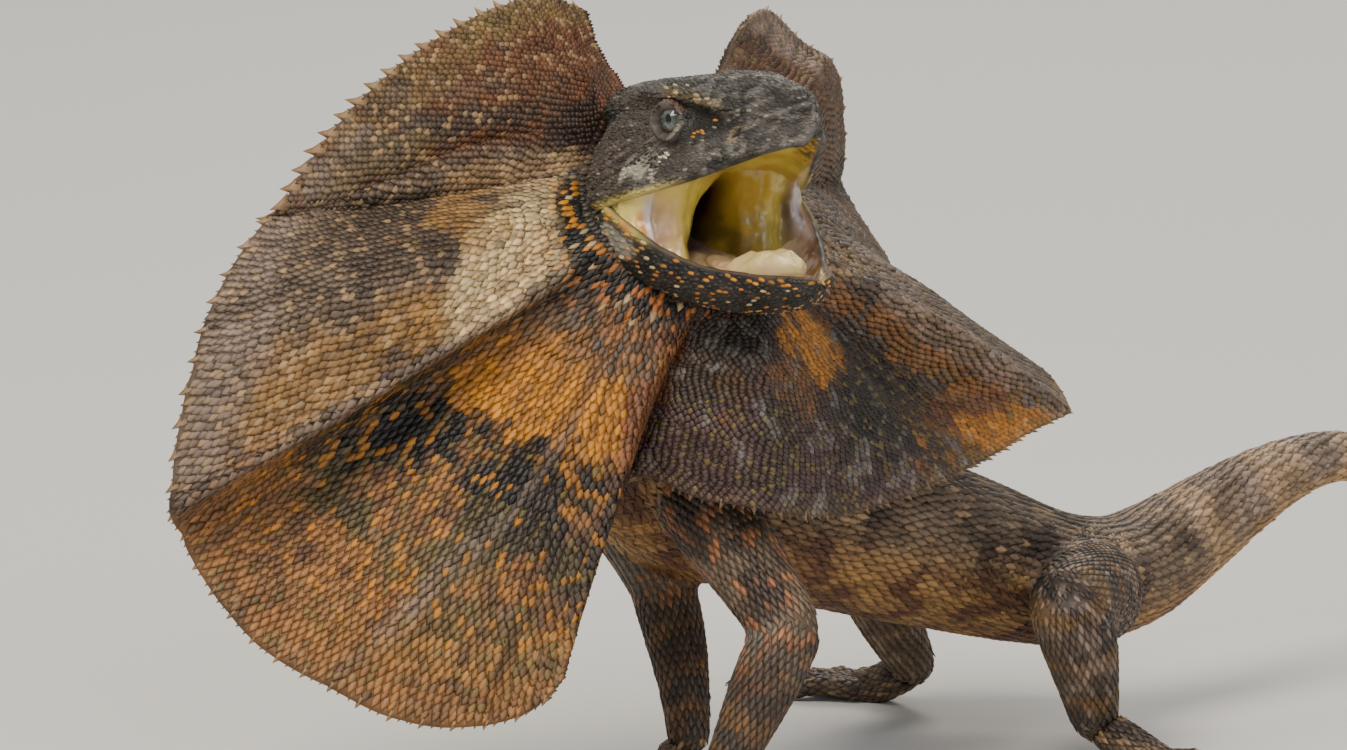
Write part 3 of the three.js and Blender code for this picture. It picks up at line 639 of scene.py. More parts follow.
def resampled(corners: Array, count: int) -> Array:
    """Smooth closed outline through corners, with count points spaced by length.

    Args:
        corners: Corners of many outlines, outlines by corners by 2 or 3.
        count: Points wanted on each outline.

    Returns:
        Outlines by count by 2 or 3.
    """
    fine = 16
    n = corners.shape[1]
    u = np.arange(n * fine) / fine
    i = np.floor(u).astype(int)
    t = (u - i)[None, :, None]
    a, b = corners[:, (i - 1) % n], corners[:, i % n]
    c, d = corners[:, (i + 1) % n], corners[:, (i + 2) % n]
    curve = b + 0.5 * t * (c - a + t * (2 * a - 5 * b + 4 * c - d + t * (3 * (b - c) + d - a)))
    made = np.empty((len(corners), count, corners.shape[2]))
    mean = np.concatenate([curve, curve[:, :1]], axis=1).mean(axis=0)
    lengths = travelled(mean)
    wanted = np.linspace(0, lengths[-1], count, endpoint=False)
    for k, outline in enumerate(curve):
        loop = np.concatenate([outline, outline[:1]])
        for axis in range(loop.shape[1]):
            made[k, :, axis] = np.interp(wanted, lengths, loop[:, axis])
    return made


def eye_frame(side: int) -> tuple[Array, Array]:
    """Centre of an eyeball and its axes (gaze, forward, up) as rows, in the head's frame."""
    turn = math.radians(EYE_FORWARD)
    gaze = np.array([math.sin(turn), side * math.cos(turn), 0.0])
    ahead = np.array([math.cos(turn), -side * math.sin(turn), 0.0])
    return np.array([EYE_X, side * EYE_SIDE, EYE_Z]), np.array([gaze, ahead, [0.0, 0.0, 1.0]])


def slit_line(y: Array, z: Array) -> Array:
    """Distance across from the throat's leaning slit, in the head's frame."""
    return y + 0.9 - 0.32 * (z + 4)


def evened(values: Array, reach: int) -> Array:
    """Running mean over a number of neighbours to each side, with the ends repeated."""
    window = 2 * reach + 1
    return np.convolve(np.pad(values, reach, mode="edge"), np.ones(window) / window, mode="valid")


def lip_edge(half_width: Array) -> Array:
    """Thickness of a lip where the jaw has this half width."""
    return np.minimum(2.0, half_width * 0.4)


def palate_arch(half_width: Array) -> Array:
    """Height of the palate above the lip where the jaw has this half width."""
    return np.minimum(3.4, half_width * 0.6)


def off_gaze(local: Array) -> tuple[Array, Array]:
    """Degrees across and up from the gaze, of places about an eye's centre."""
    onward = np.maximum(local[:, 0], 1e-3)
    return np.degrees(np.arctan2(local[:, 1], onward)), np.degrees(np.arctan2(local[:, 2], onward))


def about_eye(p: Array, side: int) -> tuple[Array, Array, Array, Array]:
    """How places on the head lie about one eye.

    Args:
        p: Places in the head's frame.
        side: -1 for the right eye, 1 for the left.

    Returns:
        Places along gaze, forward and up; degrees across and up; share of the way to the lid's edge.
    """
    centre, axes = eye_frame(side)
    local = (p - centre) @ axes.T
    across, rise = off_gaze(local)
    return local, across, rise, np.hypot(across / EYE_OPEN[0], rise / EYE_OPEN[1])


def mirrored_sections(x: Array, half: Sequence[tuple[Array, Array]], last: Array, around: int) -> Array:
    """Smooth outlines at stations along the head, the same on both sides.

    Args:
        x: Stations.
        half: Corners of an outline's left half as width and height, from the middle outwards.
        last: Height of the corner in the middle opposite the first.
        around: Points wanted round each station.

    Returns:
        Places, stations times points by 3.
    """
    right = [np.stack([-y, z], axis=1) for y, z in half]
    left = [np.stack([y, z], axis=1) for y, z in half[1:]][::-1]
    corners = np.stack([*right, np.stack([0 * x, last], axis=1), *left], axis=1)
    along = np.repeat(x[:, None, None], around, axis=1)
    return np.concatenate([along, resampled(corners, around)], axis=2).reshape(-1, 3)


@dataclass
class Head:
    """The head with its jaws and the lining of its mouth as fine closed lofts.

    Stations lie along the head or jaw, and points around each of them. The lid is the distance of its
    surface from the eyeball's centre. Nostril and ear are places in the head's frame.
    """

    stations: int = 150
    around: int = 180
    jaw_stations: int = 110
    jaw_around: int = 140
    lining_rows: int = 130
    lining_front: int = 60
    lining_rear: int = 12
    lid: float = 5.5
    nostril: tuple[float, float, float] = (32.0, 7.6, 6.5)
    ear: tuple[float, float, float] = (-7.0, 20.0, 8.4)

    def skull(self) -> bpy.types.Object:
        """Builds the upper head, from its palate to its crown."""
        u = np.linspace(0, len(SKULL) - 1, self.stations)
        x, lip, lip_z, brow, brow_z, crown = smooth_rows(SKULL, u).T
        edge, arch = lip_edge(lip), palate_arch(lip)
        rise = brow_z - lip_z
        half = [
            (0 * x, lip_z + arch),
            ((lip - edge) * 0.55, lip_z + arch * 0.8),
            (lip - edge, lip_z + 0.3),
            (lip - edge * 0.3, lip_z - 0.1),
            (lip + 0.1, lip_z + 0.8),
            (lip * 1.01, lip_z + rise * 0.26),
            (lip * 0.55 + brow * 0.45, lip_z + rise * 0.58),
            (brow * 0.97, lip_z + rise * 0.84),
            (brow, lip_z + rise * 0.98),
            (brow * 0.84, brow_z * 0.42 + crown * 0.58),
            (brow * 0.42, crown * 0.99),
        ]
        flat = self.shape_skull(mirrored_sections(x, half, crown, self.around))
        rings = SHIFT.model(from_head(flat)).reshape(self.stations, self.around, 3)
        return closed_loft("skull", rings)

    def shape_skull(self, p: Array) -> Array:
        """Works lids, brows, nostrils, ear cups, muscles and folds into the skull's surface.

        Args:
            p: Places on the plain skull in the head's frame.

        Returns:
            The shaped places.
        """
        x, y, z = p.T
        side = np.sign(y)
        w = np.abs(y)
        outside = ramp(0.2, 1.6, z) * ramp(2.0, 5.0, w)
        brow_z = at_station(SKULL, x)[:, 4]
        along = ramp(5, 12, x) * (1 - ramp(38, 47, x))
        ridge = np.exp(-(((z - brow_z) / 1.5) ** 2)) * along * (1.25 - 0.5 * ramp(18, 34, x))
        hollow = bump(z, brow_z - 4.0, 2.4) * bump(x, 24.5, 7.0) * 1.5
        hollow += bump(z, EYE_Z + 0.5, 3.6) * bump(x, 8.2, 2.0) * 0.7
        muscle = bump(x, -1.0, 7.0) * bump(z, 8.0, 6.0) * 0.9
        cheek = bump(x, 7.0, 3.0) * bump(z, 3.5, 2.6) * 0.7
        lips = bump(z, 1.6, 1.1) * ramp(0, 8, x) * 0.28
        out = (ridge - hollow + muscle + cheek + lips) * outside
        spot = np.hypot(x - self.ear[0], z - self.ear[2])
        out -= (1 - ramp(2.6, 3.9, spot)) * 1.3 * outside
        out += bump(spot, 4.3, 0.8) * 0.35 * outside
        y = y + side * out
        z = z + ridge * outside * 0.45 + bump(x, 20.0, 9.0) * bump(w, 0.0, 4.0) * 0.3 * (z > 9)
        nose = np.stack([x - self.nostril[0], w - self.nostril[1], z - self.nostril[2]], axis=1)
        reach = np.linalg.norm(nose * [0.8, 1.0, 1.0], axis=1)
        y = y + side * (bump(reach, 1.3, 0.9) * 0.55 - (1 - ramp(0.35, 1.05, reach)) * 1.5) * outside
        p = np.stack([x, y, z], axis=1)
        for way in (-1, 1):
            p = self.lids(p, way)
        rear = 1 - ramp(10, 20, x)
        arc = np.hypot(x - EYE_X, z - EYE_Z)
        crease = 1 - np.abs(np.sin(arc * 1.5 + 2.2 * noise(p, 5, 6, 2)))
        fold = noise(p * [0.5, 1.0, 1.7], 2.2, 3, 2) * 0.3 * (0.3 + 0.7 * rear) + noise(p, 1.1, 4, 2) * 0.1
        fold = fold - crease**3 * 0.5 * rear * ramp(6.0, 8.0, arc)
        p[:, 1] += side * fold * outside
        p[:, 2] += noise(p, 2.4, 5, 2) * 0.12 * (z > brow_z)
        return p

    def lids(self, p: Array, side: int) -> Array:
        """Draws the surface in round one eye as two thick lids with a slit between them.

        Args:
            p: Places on the skull in the head's frame.
            side: -1 for the right eye, 1 for the left.

        Returns:
            The changed places.
        """
        centre, axes = eye_frame(side)
        local = (p - centre) @ axes.T
        distance = np.linalg.norm(local, axis=1)
        outward = local / distance[:, None]
        across, rise = off_gaze(outward)
        wide, high = EYE_OPEN
        e = np.hypot(across / wide, rise / np.where(rise > 0, high * 0.95, high * 1.05))
        front = (outward[:, 0] > 0.25) & (distance < 12)
        rim = self.lid + 0.42 * bump(e, 1.18, 0.13) + 0.3 * bump(e, 1.5, 0.1) + 0.18 * bump(e, 1.8, 0.09)
        rim = rim - 0.35 * ramp(1.22, 1.45, e) - 0.5 * (1 - ramp(1.02, 1.12, e))
        rim = np.where(e < 1.0, EYE_BALL - 0.9, rim)
        blend = (1 - ramp(1.55, 2.5, e)) * front
        target = centre + (outward * rim[:, None]) @ axes
        return p + (target - p) * blend[:, None]

    def jaw(self) -> bpy.types.Object:
        """Builds the lower jaw with its lips and the floor of the mouth."""
        u = np.linspace(0, len(MANDIBLE) - 1, self.jaw_stations)
        x, wide, lip_z, floor, deep = smooth_rows(MANDIBLE, u).T
        edge = lip_edge(wide)
        half = [
            (0 * x, -floor),
            ((wide - edge) * 0.6, -floor * 0.92),
            (wide - edge, 0 * x - 0.7),
            (wide - edge * 0.4, 0 * x + 0.1),
            (wide + 0.1, 0 * x - 0.8),
            (wide * 1.02, -deep * 0.36),
            (wide * 0.88, -deep * 0.7),
            (wide * 0.5, -deep * 0.95),
        ]
        half = [(y, lip_z + z) for y, z in half]
        p = mirrored_sections(x, half, lip_z - deep, self.jaw_around)
        p[:, 2] += noise(p, 2.0, 8, 2) * 0.14 * (p[:, 2] < -2.5)
        p[:, 1] += np.sign(p[:, 1]) * noise(p, 2.2, 9, 2) * 0.12
        inner = np.abs(p[:, 1]) < np.repeat(wide, self.jaw_around) - 2.0
        inner &= p[:, 2] > np.repeat(lip_z - floor - 1, self.jaw_around)
        p[:, 2] += noise(p * [0.5, 1, 1], 2.4, 10, 3) * 0.55 * inner
        rings = SHIFT.model(from_head(p, GAPE)).reshape(self.jaw_stations, self.jaw_around, 3)
        return closed_loft("jaw", rings)

    def lining(self) -> bpy.types.Object:
        """Builds the cheeks and the two swellings with the throat's slit at the mouth's back."""
        width = np.linspace(-LINING[-1, 0], LINING[-1, 0], self.lining_rows)
        _, back, top, middle, foot = at_station(LINING, np.abs(width)).T
        ahead, behind, ceiling = self.lining_front, self.lining_rear, 4
        around = ahead + behind
        rings = []
        for y, b, t, m, f in zip(width, back, top, middle, foot):
            low = np.interp(abs(y), [14, 17, 19], [-13, -8.6, -6.5])
            heights = np.linspace(low, ceiling, ahead)
            knots = [-13, -9.5, -6.5, -3.6, -0.6, 2, ceiling]
            reach = np.interp(heights, knots, [f + 1, f, (f + 2 * m) / 3, m, (m + t) / 2, t, t + 1])
            reach = evened(reach, 4)
            front = np.stack([reach, np.full(ahead, y), heights], axis=1)
            down = np.linspace(ceiling, low, behind)
            rear = np.stack([np.full(behind, b), np.full(behind, y), down], axis=1)
            rings.append(np.concatenate([front, rear]))
        p = np.array(rings).reshape(-1, 3)
        front = np.tile(np.arange(around) < ahead, self.lining_rows)
        slit = bump(slit_line(p[:, 1], p[:, 2]), 0, 1.5 + 0.12 * np.clip(2 - p[:, 2], 0, 9))
        hole = slit * ramp(4.0, 0.0, p[:, 2]) * (p[:, 0] - np.repeat(back, around) - 1.2) * 0.9
        p[:, 0] -= np.where(front, np.maximum(hole, 0), 0)
        fold = noise(p * [0.4, 1.6, 0.45], 2.6, 12, 2) * 0.6 + noise(p, 1.5, 13, 2) * 0.16
        fold = fold + bump(np.abs(p[:, 1]), 15.4, 0.7) * 0.8
        p[:, 0] += fold * front * (np.abs(p[:, 1]) < 18)
        return closed_loft("lining", SHIFT.model(from_head(p)).reshape(self.lining_rows, around, 3))

    def build(self) -> list[bpy.types.Object]:
        """Builds the pieces of the head that later become one skin."""
        return [self.skull(), self.jaw(), self.lining()]


@dataclass
class Body:
    """Trunk, tail, legs and paws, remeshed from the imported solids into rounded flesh."""

    grow: float = 0.35
    voxel: float = 1.3
    passes: int = 9
    paw_voxel: float = 0.75
    paw_passes: int = 3

    def flesh(
        self, nodes: dict, names: Sequence[str], name: str, voxel: float, passes: int
    ) -> bpy.types.Object:
        """Joins copies of nodes, closes their gaps, remeshes and smooths them.

        Args:
            nodes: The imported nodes.
            names: Nodes to take.
            name: Name of the piece.
            voxel: Remesh size in millimetres.
            passes: Smoothing passes.

        Returns:
            One closed piece.
        """
        made = copy_nodes(nodes, names, name)
        move_to(made, vertices(made) + normals(made) * self.grow * MM)
        finish_modifier(made, "REMESH", mode="VOXEL", voxel_size=voxel * MM)
        finish_modifier(made, "SMOOTH", factor=0.5, iterations=passes)
        return made

    def build(self, nodes: dict) -> list[bpy.types.Object]:
        """Builds the body's flesh as one large and four small closed pieces."""
        trunk = self.flesh(nodes, TRUNK_NODES, "trunk", self.voxel, self.passes)
        paws = (
            self.flesh(nodes, [paw], f"flesh_{paw}", self.paw_voxel, self.paw_passes) for paw in PAW_NODES
        )
        return [trunk, *paws]


def united(name: str, pieces: Sequence[bpy.types.Object]) -> bpy.types.Object:
    """Joins closed pieces into one closed skin by unions.

    Args:
        name: Name of the result.
        pieces: Closed pieces; the first one takes the others in.

    Returns:
        The joined piece.
    """
    base = pieces[0]
    for other in pieces[1:]:
        finish_modifier(base, "BOOLEAN", operation="UNION", solver="MANIFOLD", object=other)
        bpy.data.objects.remove(other, do_unlink=True)
    base.name = name
    base.data.name = name
    return base


def frill_rows(t: Array) -> Array:
    """Rib values at places t round the frill, smooth inside each lobe and creased between lobes."""
    values = np.empty((len(t), RIBS.shape[1]))
    for first, last in zip(LOBE_ENDS[:-1], LOBE_ENDS[1:]):
        inside = (t >= first - 1e-9) & (t <= last + 1e-9)
        values[inside] = smooth_rows(RIBS[first : last + 1], t[inside] - first)
    return values


@dataclass
class Frill:
    """The pleated neck frill as one thin sheet, with its rods and folds.

    Rods are given by rib number, height and width, and pleats by rib number near the root and near
    the rim, height and width.
    """

    columns: int = 570
    rows: int = 84
    root_thick: float = 2.2
    rim_thick: float = 0.9
    sunk: float = 6.0
    samples: int = 6000
    measured_at: float = 0.85
    slope_step: float = 0.02
    rods: tuple[tuple[float, float, float], ...] = (
        (5.0, 0.3, 0.5), (9.0, 1.2, 0.5), (23.0, 1.2, 0.5), (28.0, 0.4, 0.5), (18.0, 0.35, 0.6)
    )
    pleats: tuple[tuple[float, float, float, float], ...] = (
        (12.55, 11.8, 2.4, 0.3), (12.6, 13.1, 2.0, 0.26), (11.2, 10.8, 1.2, 0.24), (13.9, 14.3, 1.6, 0.3),
        (10.3, 9.9, 1.0, 0.22), (15.0, 15.0, 1.2, 0.3), (17.2, 16.9, 1.6, 0.35), (19.2, 19.0, 1.4, 0.35),
        (21.7, 21.9, 1.8, 0.3), (24.6, 24.8, 1.4, 0.3), (26.3, 26.6, 1.1, 0.3), (30.2, 30.4, 1.2, 0.35),
        (1.2, 1.5, 1.3, 0.35), (2.75, 4.45, -2.0, 0.3), (6.6, 6.9, 1.0, 0.3), (7.8, 8.1, 0.8, 0.3),
    )

    @staticmethod
    def ring(turn: Array, out: Array, back: Array) -> Array:
        """Places at degrees round the head, distances from its axis and behind the hinge."""
        angle = np.radians(turn)
        return np.stack([-back, -out * np.sin(angle), out * np.cos(angle)], axis=1)

    def middle(self, t: Array, v: Array) -> Array:
        """Middle surface of the frill.

        Args:
            t: Rib number round the frill, from the right brow.
            v: Share of the way from root to rim; below 0 runs into the neck.

        Returns:
            Places in the head's frame.
        """
        root_turn, root_out, root_back, rim_turn, rim_out, rim_back, belly, _ = frill_rows(t).T
        root = self.ring(root_turn, root_out, root_back)
        rim = self.ring(rim_turn, rim_out, rim_back)
        length = np.linalg.norm(rim - root, axis=1)
        share = np.where(v < 0, v * self.sunk / length, v)
        p = root + share[:, None] * (rim - root)
        s = np.clip(v, 0, 1)
        p[:, 0] += belly * np.sin(np.pi * s)
        p[:, 0] += self.folds(t, s) * ramp(0, 0.08, s)
        return p

    def folds(self, t: Array, s: Array) -> Array:
        """Forward height of the small folds: pleats along the ribs and wrinkles by the jaw."""
        radial = noise(np.stack([t * 3.2, s * 1.5, 0 * t], axis=1), 2.0, 21, 3) * 1.1
        soft = noise(np.stack([t * 1.3, s * 9, 0 * t], axis=1), 3.0, 22, 2) * 0.9
        q = np.stack([t * 2, s * 9, 0 * t], axis=1)
        wrinkle = np.sin(s * 90 + 5 * noise(q, 2.5, 23, 2)) * bump(s, 0.16, 0.14) * 0.5
        wrinkle = wrinkle * (bump(t, 7.5, 2.6) + bump(t, 12.5, 2.5) * 0.5 + bump(t, 24.5, 2.0))
        total = (radial + soft) * (0.35 + 0.65 * s) + wrinkle
        for low, high, height, width in self.pleats:
            line = low + (high - low) * (s - 0.2) / 0.7 + 0.12 * noise(q, 5.0, 24, 1)
            total = total + height * np.exp(-np.abs(t - line) / width) * ramp(0.1, 0.35, s)
        return total

    def thickness(self, t: Array, v: Array) -> Array:
        """Thickness of the sheet, swollen over the rods that carry it."""
        s = np.clip(v, 0, 1)
        thick = self.root_thick + (self.rim_thick - self.root_thick) * s
        for place, height, width in self.rods:
            thick = thick + height * bump(t, place, width / (0.4 + s)) * (1 - 0.55 * s)
        return thick

    def surface(self, t: Array, v: Array) -> tuple[Array, Array]:
        """Middle surface and its forward normals, in the head's frame."""
        step = self.slope_step
        p = self.middle(t, v)
        low, high = np.maximum(t - step, 0), np.minimum(t + step, len(RIBS) - 1)
        across = self.middle(high, v) - self.middle(low, v)
        along = self.middle(t, v + step) - self.middle(t, v - step)
        return p, unit(np.cross(along, across))

    def shares(self, count: int) -> Array:
        """Places round the frill that part its rim, and its middle, into equal lengths."""
        t = np.linspace(0, len(RIBS) - 1, self.samples)
        rim = self.middle(t, np.full(len(t), self.measured_at))
        lengths = travelled(rim)
        made = np.interp(np.linspace(0, lengths[-1], count), lengths, t)
        for end in LOBE_ENDS[1:-1]:
            made[np.argmin(np.abs(made - end))] = end
        return made

    def build(self) -> bpy.types.Object:
        """Builds the frill's skin."""
        t = self.shares(self.columns)
        v = np.concatenate([[-1.0], np.linspace(0, 1, self.rows)])
        grid_t, grid_v = np.meshgrid(t, v, indexing="ij")
        flat_t, flat_v = grid_t.ravel(), grid_v.ravel()
        p, normal = self.surface(flat_t, flat_v)
        thick = self.thickness(flat_t, flat_v)[:, None] / 2
        front = p + normal * thick
        back = p - normal * thick
        n, m = len(t), len(v)
        index = np.arange(n * m).reshape(n, m)
        a, b = index[:-1, :-1].ravel(), index[1:, :-1].ravel()
        c, d = index[1:, 1:].ravel(), index[:-1, 1:].ravel()
        base = n * m
        faces = [np.stack([a, b, c, d], axis=1), np.stack([d, c, b, a], axis=1) + base]
        loop = np.concatenate([index[:, 0], index[-1, 1:], index[-2::-1, -1], index[0, -2:0:-1]])
        after = np.roll(loop, -1)
        faces.append(np.stack([after, loop, loop + base, after + base], axis=1))
        both = np.concatenate([front, back])
        made = mesh_object("frill_skin", SHIFT.model(from_head(both)), np.concatenate(faces))
        edit_whole(made, bpy.ops.mesh.normals_make_consistent, inside=False)
        marks = frill_marks(np.tile(flat_t, 2), np.tile(flat_v, 2), both, np.arange(2 * base) >= base)
        paint(made, marks * UNDER_SCALES)
        return made


@dataclass(frozen=True)
class Patch:
    """One soft-edged marking of the frill, placed by rib number and share of the way to the rim."""

    t: float
    v: float
    wide: float
    tall: float
    paint: Paint
    strength: float = 0.8
    lean: float = 0.0
    ragged: float = 0.5


FRILL_PATCHES = (
    Patch(1.0, 0.55, 2.4, 0.75, Paint.CHESTNUT, 0.9),
    Patch(2.3, 0.1, 0.9, 0.2, Paint.BLACK, 0.8),
    Patch(0.8, 0.9, 1.4, 0.16, Paint.OLIVE, 0.5),
    Patch(2.6, 0.9, 1.2, 0.16, Paint.OLIVE, 0.45),
    Patch(3.1, 0.6, 0.35, 0.5, Paint.UMBER, 0.85, 2.0),
    Patch(3.7, 0.78, 0.3, 0.2, Paint.OLIVE, 0.7, 2.0),
    Patch(6.0, 0.8, 3.0, 0.4, Paint.BROWN, 0.7),
    Patch(5.5, 0.5, 1.6, 0.24, Paint.UMBER, 0.6),
    Patch(7.9, 0.62, 1.1, 0.28, Paint.OCHRE, 0.5),
    Patch(8.2, 0.42, 0.8, 0.12, Paint.OCHRE, 0.55),
    Patch(6.3, 0.93, 2.6, 0.1, Paint.ASH, 0.6),
    Patch(5.3, 0.16, 1.0, 0.16, Paint.TAN, 0.7),
    Patch(7.3, 0.17, 2.1, 0.22, Paint.CREAM, 1.0, 3.0, 0.35),
    Patch(8.5, 0.24, 0.7, 0.15, Paint.IVORY, 0.9, 2.0, 0.35),
    Patch(7.7, 0.12, 1.0, 0.1, Paint.IVORY, 0.7),
    # Painted shadow on the lower lobe just under its ridge with the middle lobe
    Patch(9.7, 0.45, 0.6, 0.45, Paint.UMBER, 0.9),
    Patch(10.6, 0.86, 1.9, 0.2, Paint.CLAY, 0.75),
    Patch(13.2, 0.88, 2.0, 0.14, Paint.OCHRE, 0.5),
    Patch(12.4, 0.96, 2.6, 0.07, Paint.CLAY, 0.7),
    Patch(13.8, 0.68, 1.3, 0.2, Paint.UMBER, 0.6, 0.0, 0.9),
    Patch(11.6, 0.32, 1.8, 0.14, Paint.AMBER, 1.0, 1.0, 0.55),
    Patch(13.0, 0.36, 0.9, 0.14, Paint.AMBER, 0.95, 0.0, 0.5),
    Patch(14.8, 0.35, 1.4, 0.3, Paint.RUST, 0.9),
    Patch(10.6, 0.53, 1.05, 0.15, Paint.BLACK, 0.95, 0.0, 1.0),
    Patch(11.6, 0.49, 0.85, 0.1, Paint.BLACK, 0.95, 0.0, 1.0),
    Patch(10.8, 0.67, 0.6, 0.07, Paint.BLACK, 0.7, 0.0, 1.3),
    Patch(12.75, 0.56, 0.85, 0.11, Paint.BLACK, 0.9, 0.0, 1.0),
    Patch(14.1, 0.58, 0.9, 0.13, Paint.BLACK, 0.8, 0.0, 1.1),
    Patch(11.8, 0.68, 1.6, 0.1, Paint.OLIVE, 0.45, 0.0, 1.2),
    Patch(12.0, 0.76, 0.16, 0.2, Paint.ASH, 0.4, -1.0, 0.3),
    Patch(12.4, 0.45, 0.1, 0.2, Paint.ASH, 0.4, -0.5, 0.3),
    Patch(16.3, 0.42, 0.7, 0.4, Paint.RUST, 0.9),
    Patch(18.0, 0.2, 2.2, 0.16, Paint.BLACK, 0.6),
    Patch(19.7, 0.38, 0.9, 0.16, Paint.CLAY, 0.5, 0.0, 1.3),
    Patch(18.0, 0.42, 0.9, 0.12, Paint.CHESTNUT, 0.5, 0.0, 1.0),
    Patch(20.9, 0.62, 0.8, 0.25, Paint.BLACK, 0.8, 0.0, 0.8),
    Patch(21.8, 0.5, 0.9, 0.35, Paint.UMBER, 0.8),
    Patch(22.2, 0.8, 0.8, 0.14, Paint.RUST, 0.6, 0.0, 0.9),
    Patch(21.9, 0.95, 0.9, 0.1, Paint.AMBER, 0.65, 0.0, 1.0),
    Patch(20.7, 0.26, 1.1, 0.15, Paint.AMBER, 0.75, 0.0, 1.0),
    # Painted shadow below the fold of the left lobe
    Patch(21.7, 0.36, 0.6, 0.26, Paint.BLACK, 0.75, 0.0, 1.0),
    Patch(22.5, 0.42, 0.5, 0.3, Paint.CLAY, 0.6, 0.0, 1.0),
    Patch(23.0, 0.6, 0.35, 0.5, Paint.ASH, 0.7),
    Patch(24.0, 0.12, 0.9, 0.12, Paint.TAN, 0.75, 0.0, 0.8),
    Patch(25.5, 0.5, 2.2, 0.6, Paint.BROWN, 0.7),
    Patch(25.5, 0.35, 1.6, 0.1, Paint.ASH, 0.4, 0.0, 1.0),
    Patch(27.0, 0.7, 1.2, 0.16, Paint.CHESTNUT, 0.6, 0.0, 0.9),
    Patch(30.5, 0.6, 2.6, 0.5, Paint.CHESTNUT, 0.85),
    Patch(31.6, 0.85, 1.3, 0.2, Paint.ASH, 0.75),
    Patch(9.1, 0.55, 0.16, 0.6, Paint.ASH, 0.75, 0.0, 0.2),
    Patch(4.3, 0.27, 0.9, 0.18, Paint.TAN, 0.6, 2.0, 1.0),
    Patch(5.8, 0.36, 0.9, 0.1, Paint.OCHRE, 0.5, 0.0, 1.3),
    Patch(8.3, 0.5, 0.5, 0.05, Paint.SLATE_DARK, 0.7, 0.0, 1.2),
    Patch(7.2, 0.0, 2.6, 0.07, Paint.SLATE_DARK, 0.95, 0.0, 0.4),
)


def frill_marks(t: Array, v: Array, p: Array, back: Array) -> Array:
    """Markings of the frill, shared by its skin and its scales.

    Args:
        t: Rib number round the frill.
        v: Share of the way from root to rim.
        p: Places in the head's frame, for the mottling.
        back: True on the rear side.

    Returns:
        Linear colours.
    """
    s = np.clip(v, 0, 1)
    big, small, tiny = noise(p, 26, 31, 3), noise(p, 8, 32, 3), noise(p, 2.6, 33, 2)
    streak = noise(np.stack([t * 6, s * 3, 0 * t], axis=1), 1.0, 34, 2)
    crease = ramp(-0.3, 0.3, t - 2.7 - 1.7 * s)
    lower = ramp(8.9, 9.4, t) * (1 - ramp(15.6, 16.6, t))
    throat = ramp(15.6, 16.6, t) * (1 - ramp(22.6, 23.2, t))
    colour = layered(
        Paint.CHESTNUT,
        (mix(Paint.BROWN, Paint.UMBER, ramp(-0.2, 0.7, small)), crease),
        (mix(linear(Paint.BROWN) * 0.8, Paint.CLAY, ramp(-0.3, 0.7, small + streak * 0.6)), lower),
        (mix(Paint.PLUM, Paint.UMBER, ramp(-0.3, 0.6, small)), throat),
        (Paint.SLATE_PALE, throat * ramp(0.35, 0.8, tiny + 0.3 * small) * 0.5),
    )
    for patch in FRILL_PATCHES:
        across = (t - patch.t - patch.lean * (s - patch.v)) / patch.wide
        reach = np.hypot(across, (s - patch.v) / patch.tall)
        edge = reach + patch.ragged * (small * 0.8 + tiny * 0.5 + streak * 0.2)
        colour = mix(colour, patch.paint, (1 - ramp(0.6, 1.2, edge)) * patch.strength)
    colour = layered(
        colour,
        (Paint.UMBER, ramp(0.1, 0.8, streak - 0.4 * tiny) * 0.5),
        (Paint.UMBER, ramp(0.2, 0.8, small - 0.5 * tiny) * lower * ramp(0.3, 0.5, s) * 0.45),
        (Paint.TAN, ramp(0.93, 1.0, s) * 0.12),
    )
    rear = layered(
        Paint.BROWN,
        (Paint.UMBER, ramp(-0.4, 0.6, small + 0.4 * big)),
        (Paint.TAN, ramp(0.35, 0.9, tiny + 0.5 * big) * 0.45),
        (colour, np.full(len(t), 0.2)),
    )
    colour = np.where(back[:, None], rear, colour)
    return colour * (1 + 0.16 * tiny[:, None])


class Region(Enum):
    """Parts of the body that carry their own markings and scales."""

    TRUNK = 0
    TAIL = 1
    ARM = 2
    LEG = 3
    PAW = 4


@dataclass
class Track:
    """Centre line of a tube of flesh, finely sampled, with its axes and radii."""

    name: str
    region: Region
    centre: Array
    ahead: Array
    side: Array
    up: Array
    radii: Array
    run: Array


def spine_track(name: str, region: Region, first: float, last: float) -> Track:
    """Samples the spine between two stations about every millimetre."""
    u = np.linspace(first, last, int((last - first) * 26) + 2)
    rows = smooth_rows(SPINE, u)
    ahead = unit(smooth_rows(SPINE, u + 0.05)[:, :3] - smooth_rows(SPINE, u - 0.05)[:, :3])
    facing = np.radians(rows[:, 6])
    side = np.stack([np.sin(facing), -np.cos(facing), 0 * facing], axis=1)
    side = unit(side - ahead * (side * ahead).sum(axis=1, keepdims=True))
    run = travelled(rows[:, :3])
    return Track(name, region, rows[:, :3], ahead, side, np.cross(ahead, side), rows[:, 3:6], run)


def tube_track(name: str, region: Region, joints: Sequence[Sequence[float]]) -> Track:
    """Samples a limb's or a toe's centre line through joints of place and half thickness."""
    table = np.array(joints, dtype=float)
    u = np.linspace(0, len(table) - 1, 24 * len(table))
    rows = smooth_rows(table, u)
    ahead = unit(smooth_rows(table, u + 0.05)[:, :3] - smooth_rows(table, u - 0.05)[:, :3])
    side = np.empty_like(ahead)
    way = np.array([0.31, 0.27, 0.91])
    for i, forward in enumerate(ahead):
        way = way - forward * (way @ forward)
        way = way / np.linalg.norm(way)
        side[i] = way
    run = travelled(rows[:, :3])
    radii = np.repeat(rows[:, 3:4], 3, axis=1)
    return Track(name, region, rows[:, :3], ahead, side, np.cross(ahead, side), radii, run)


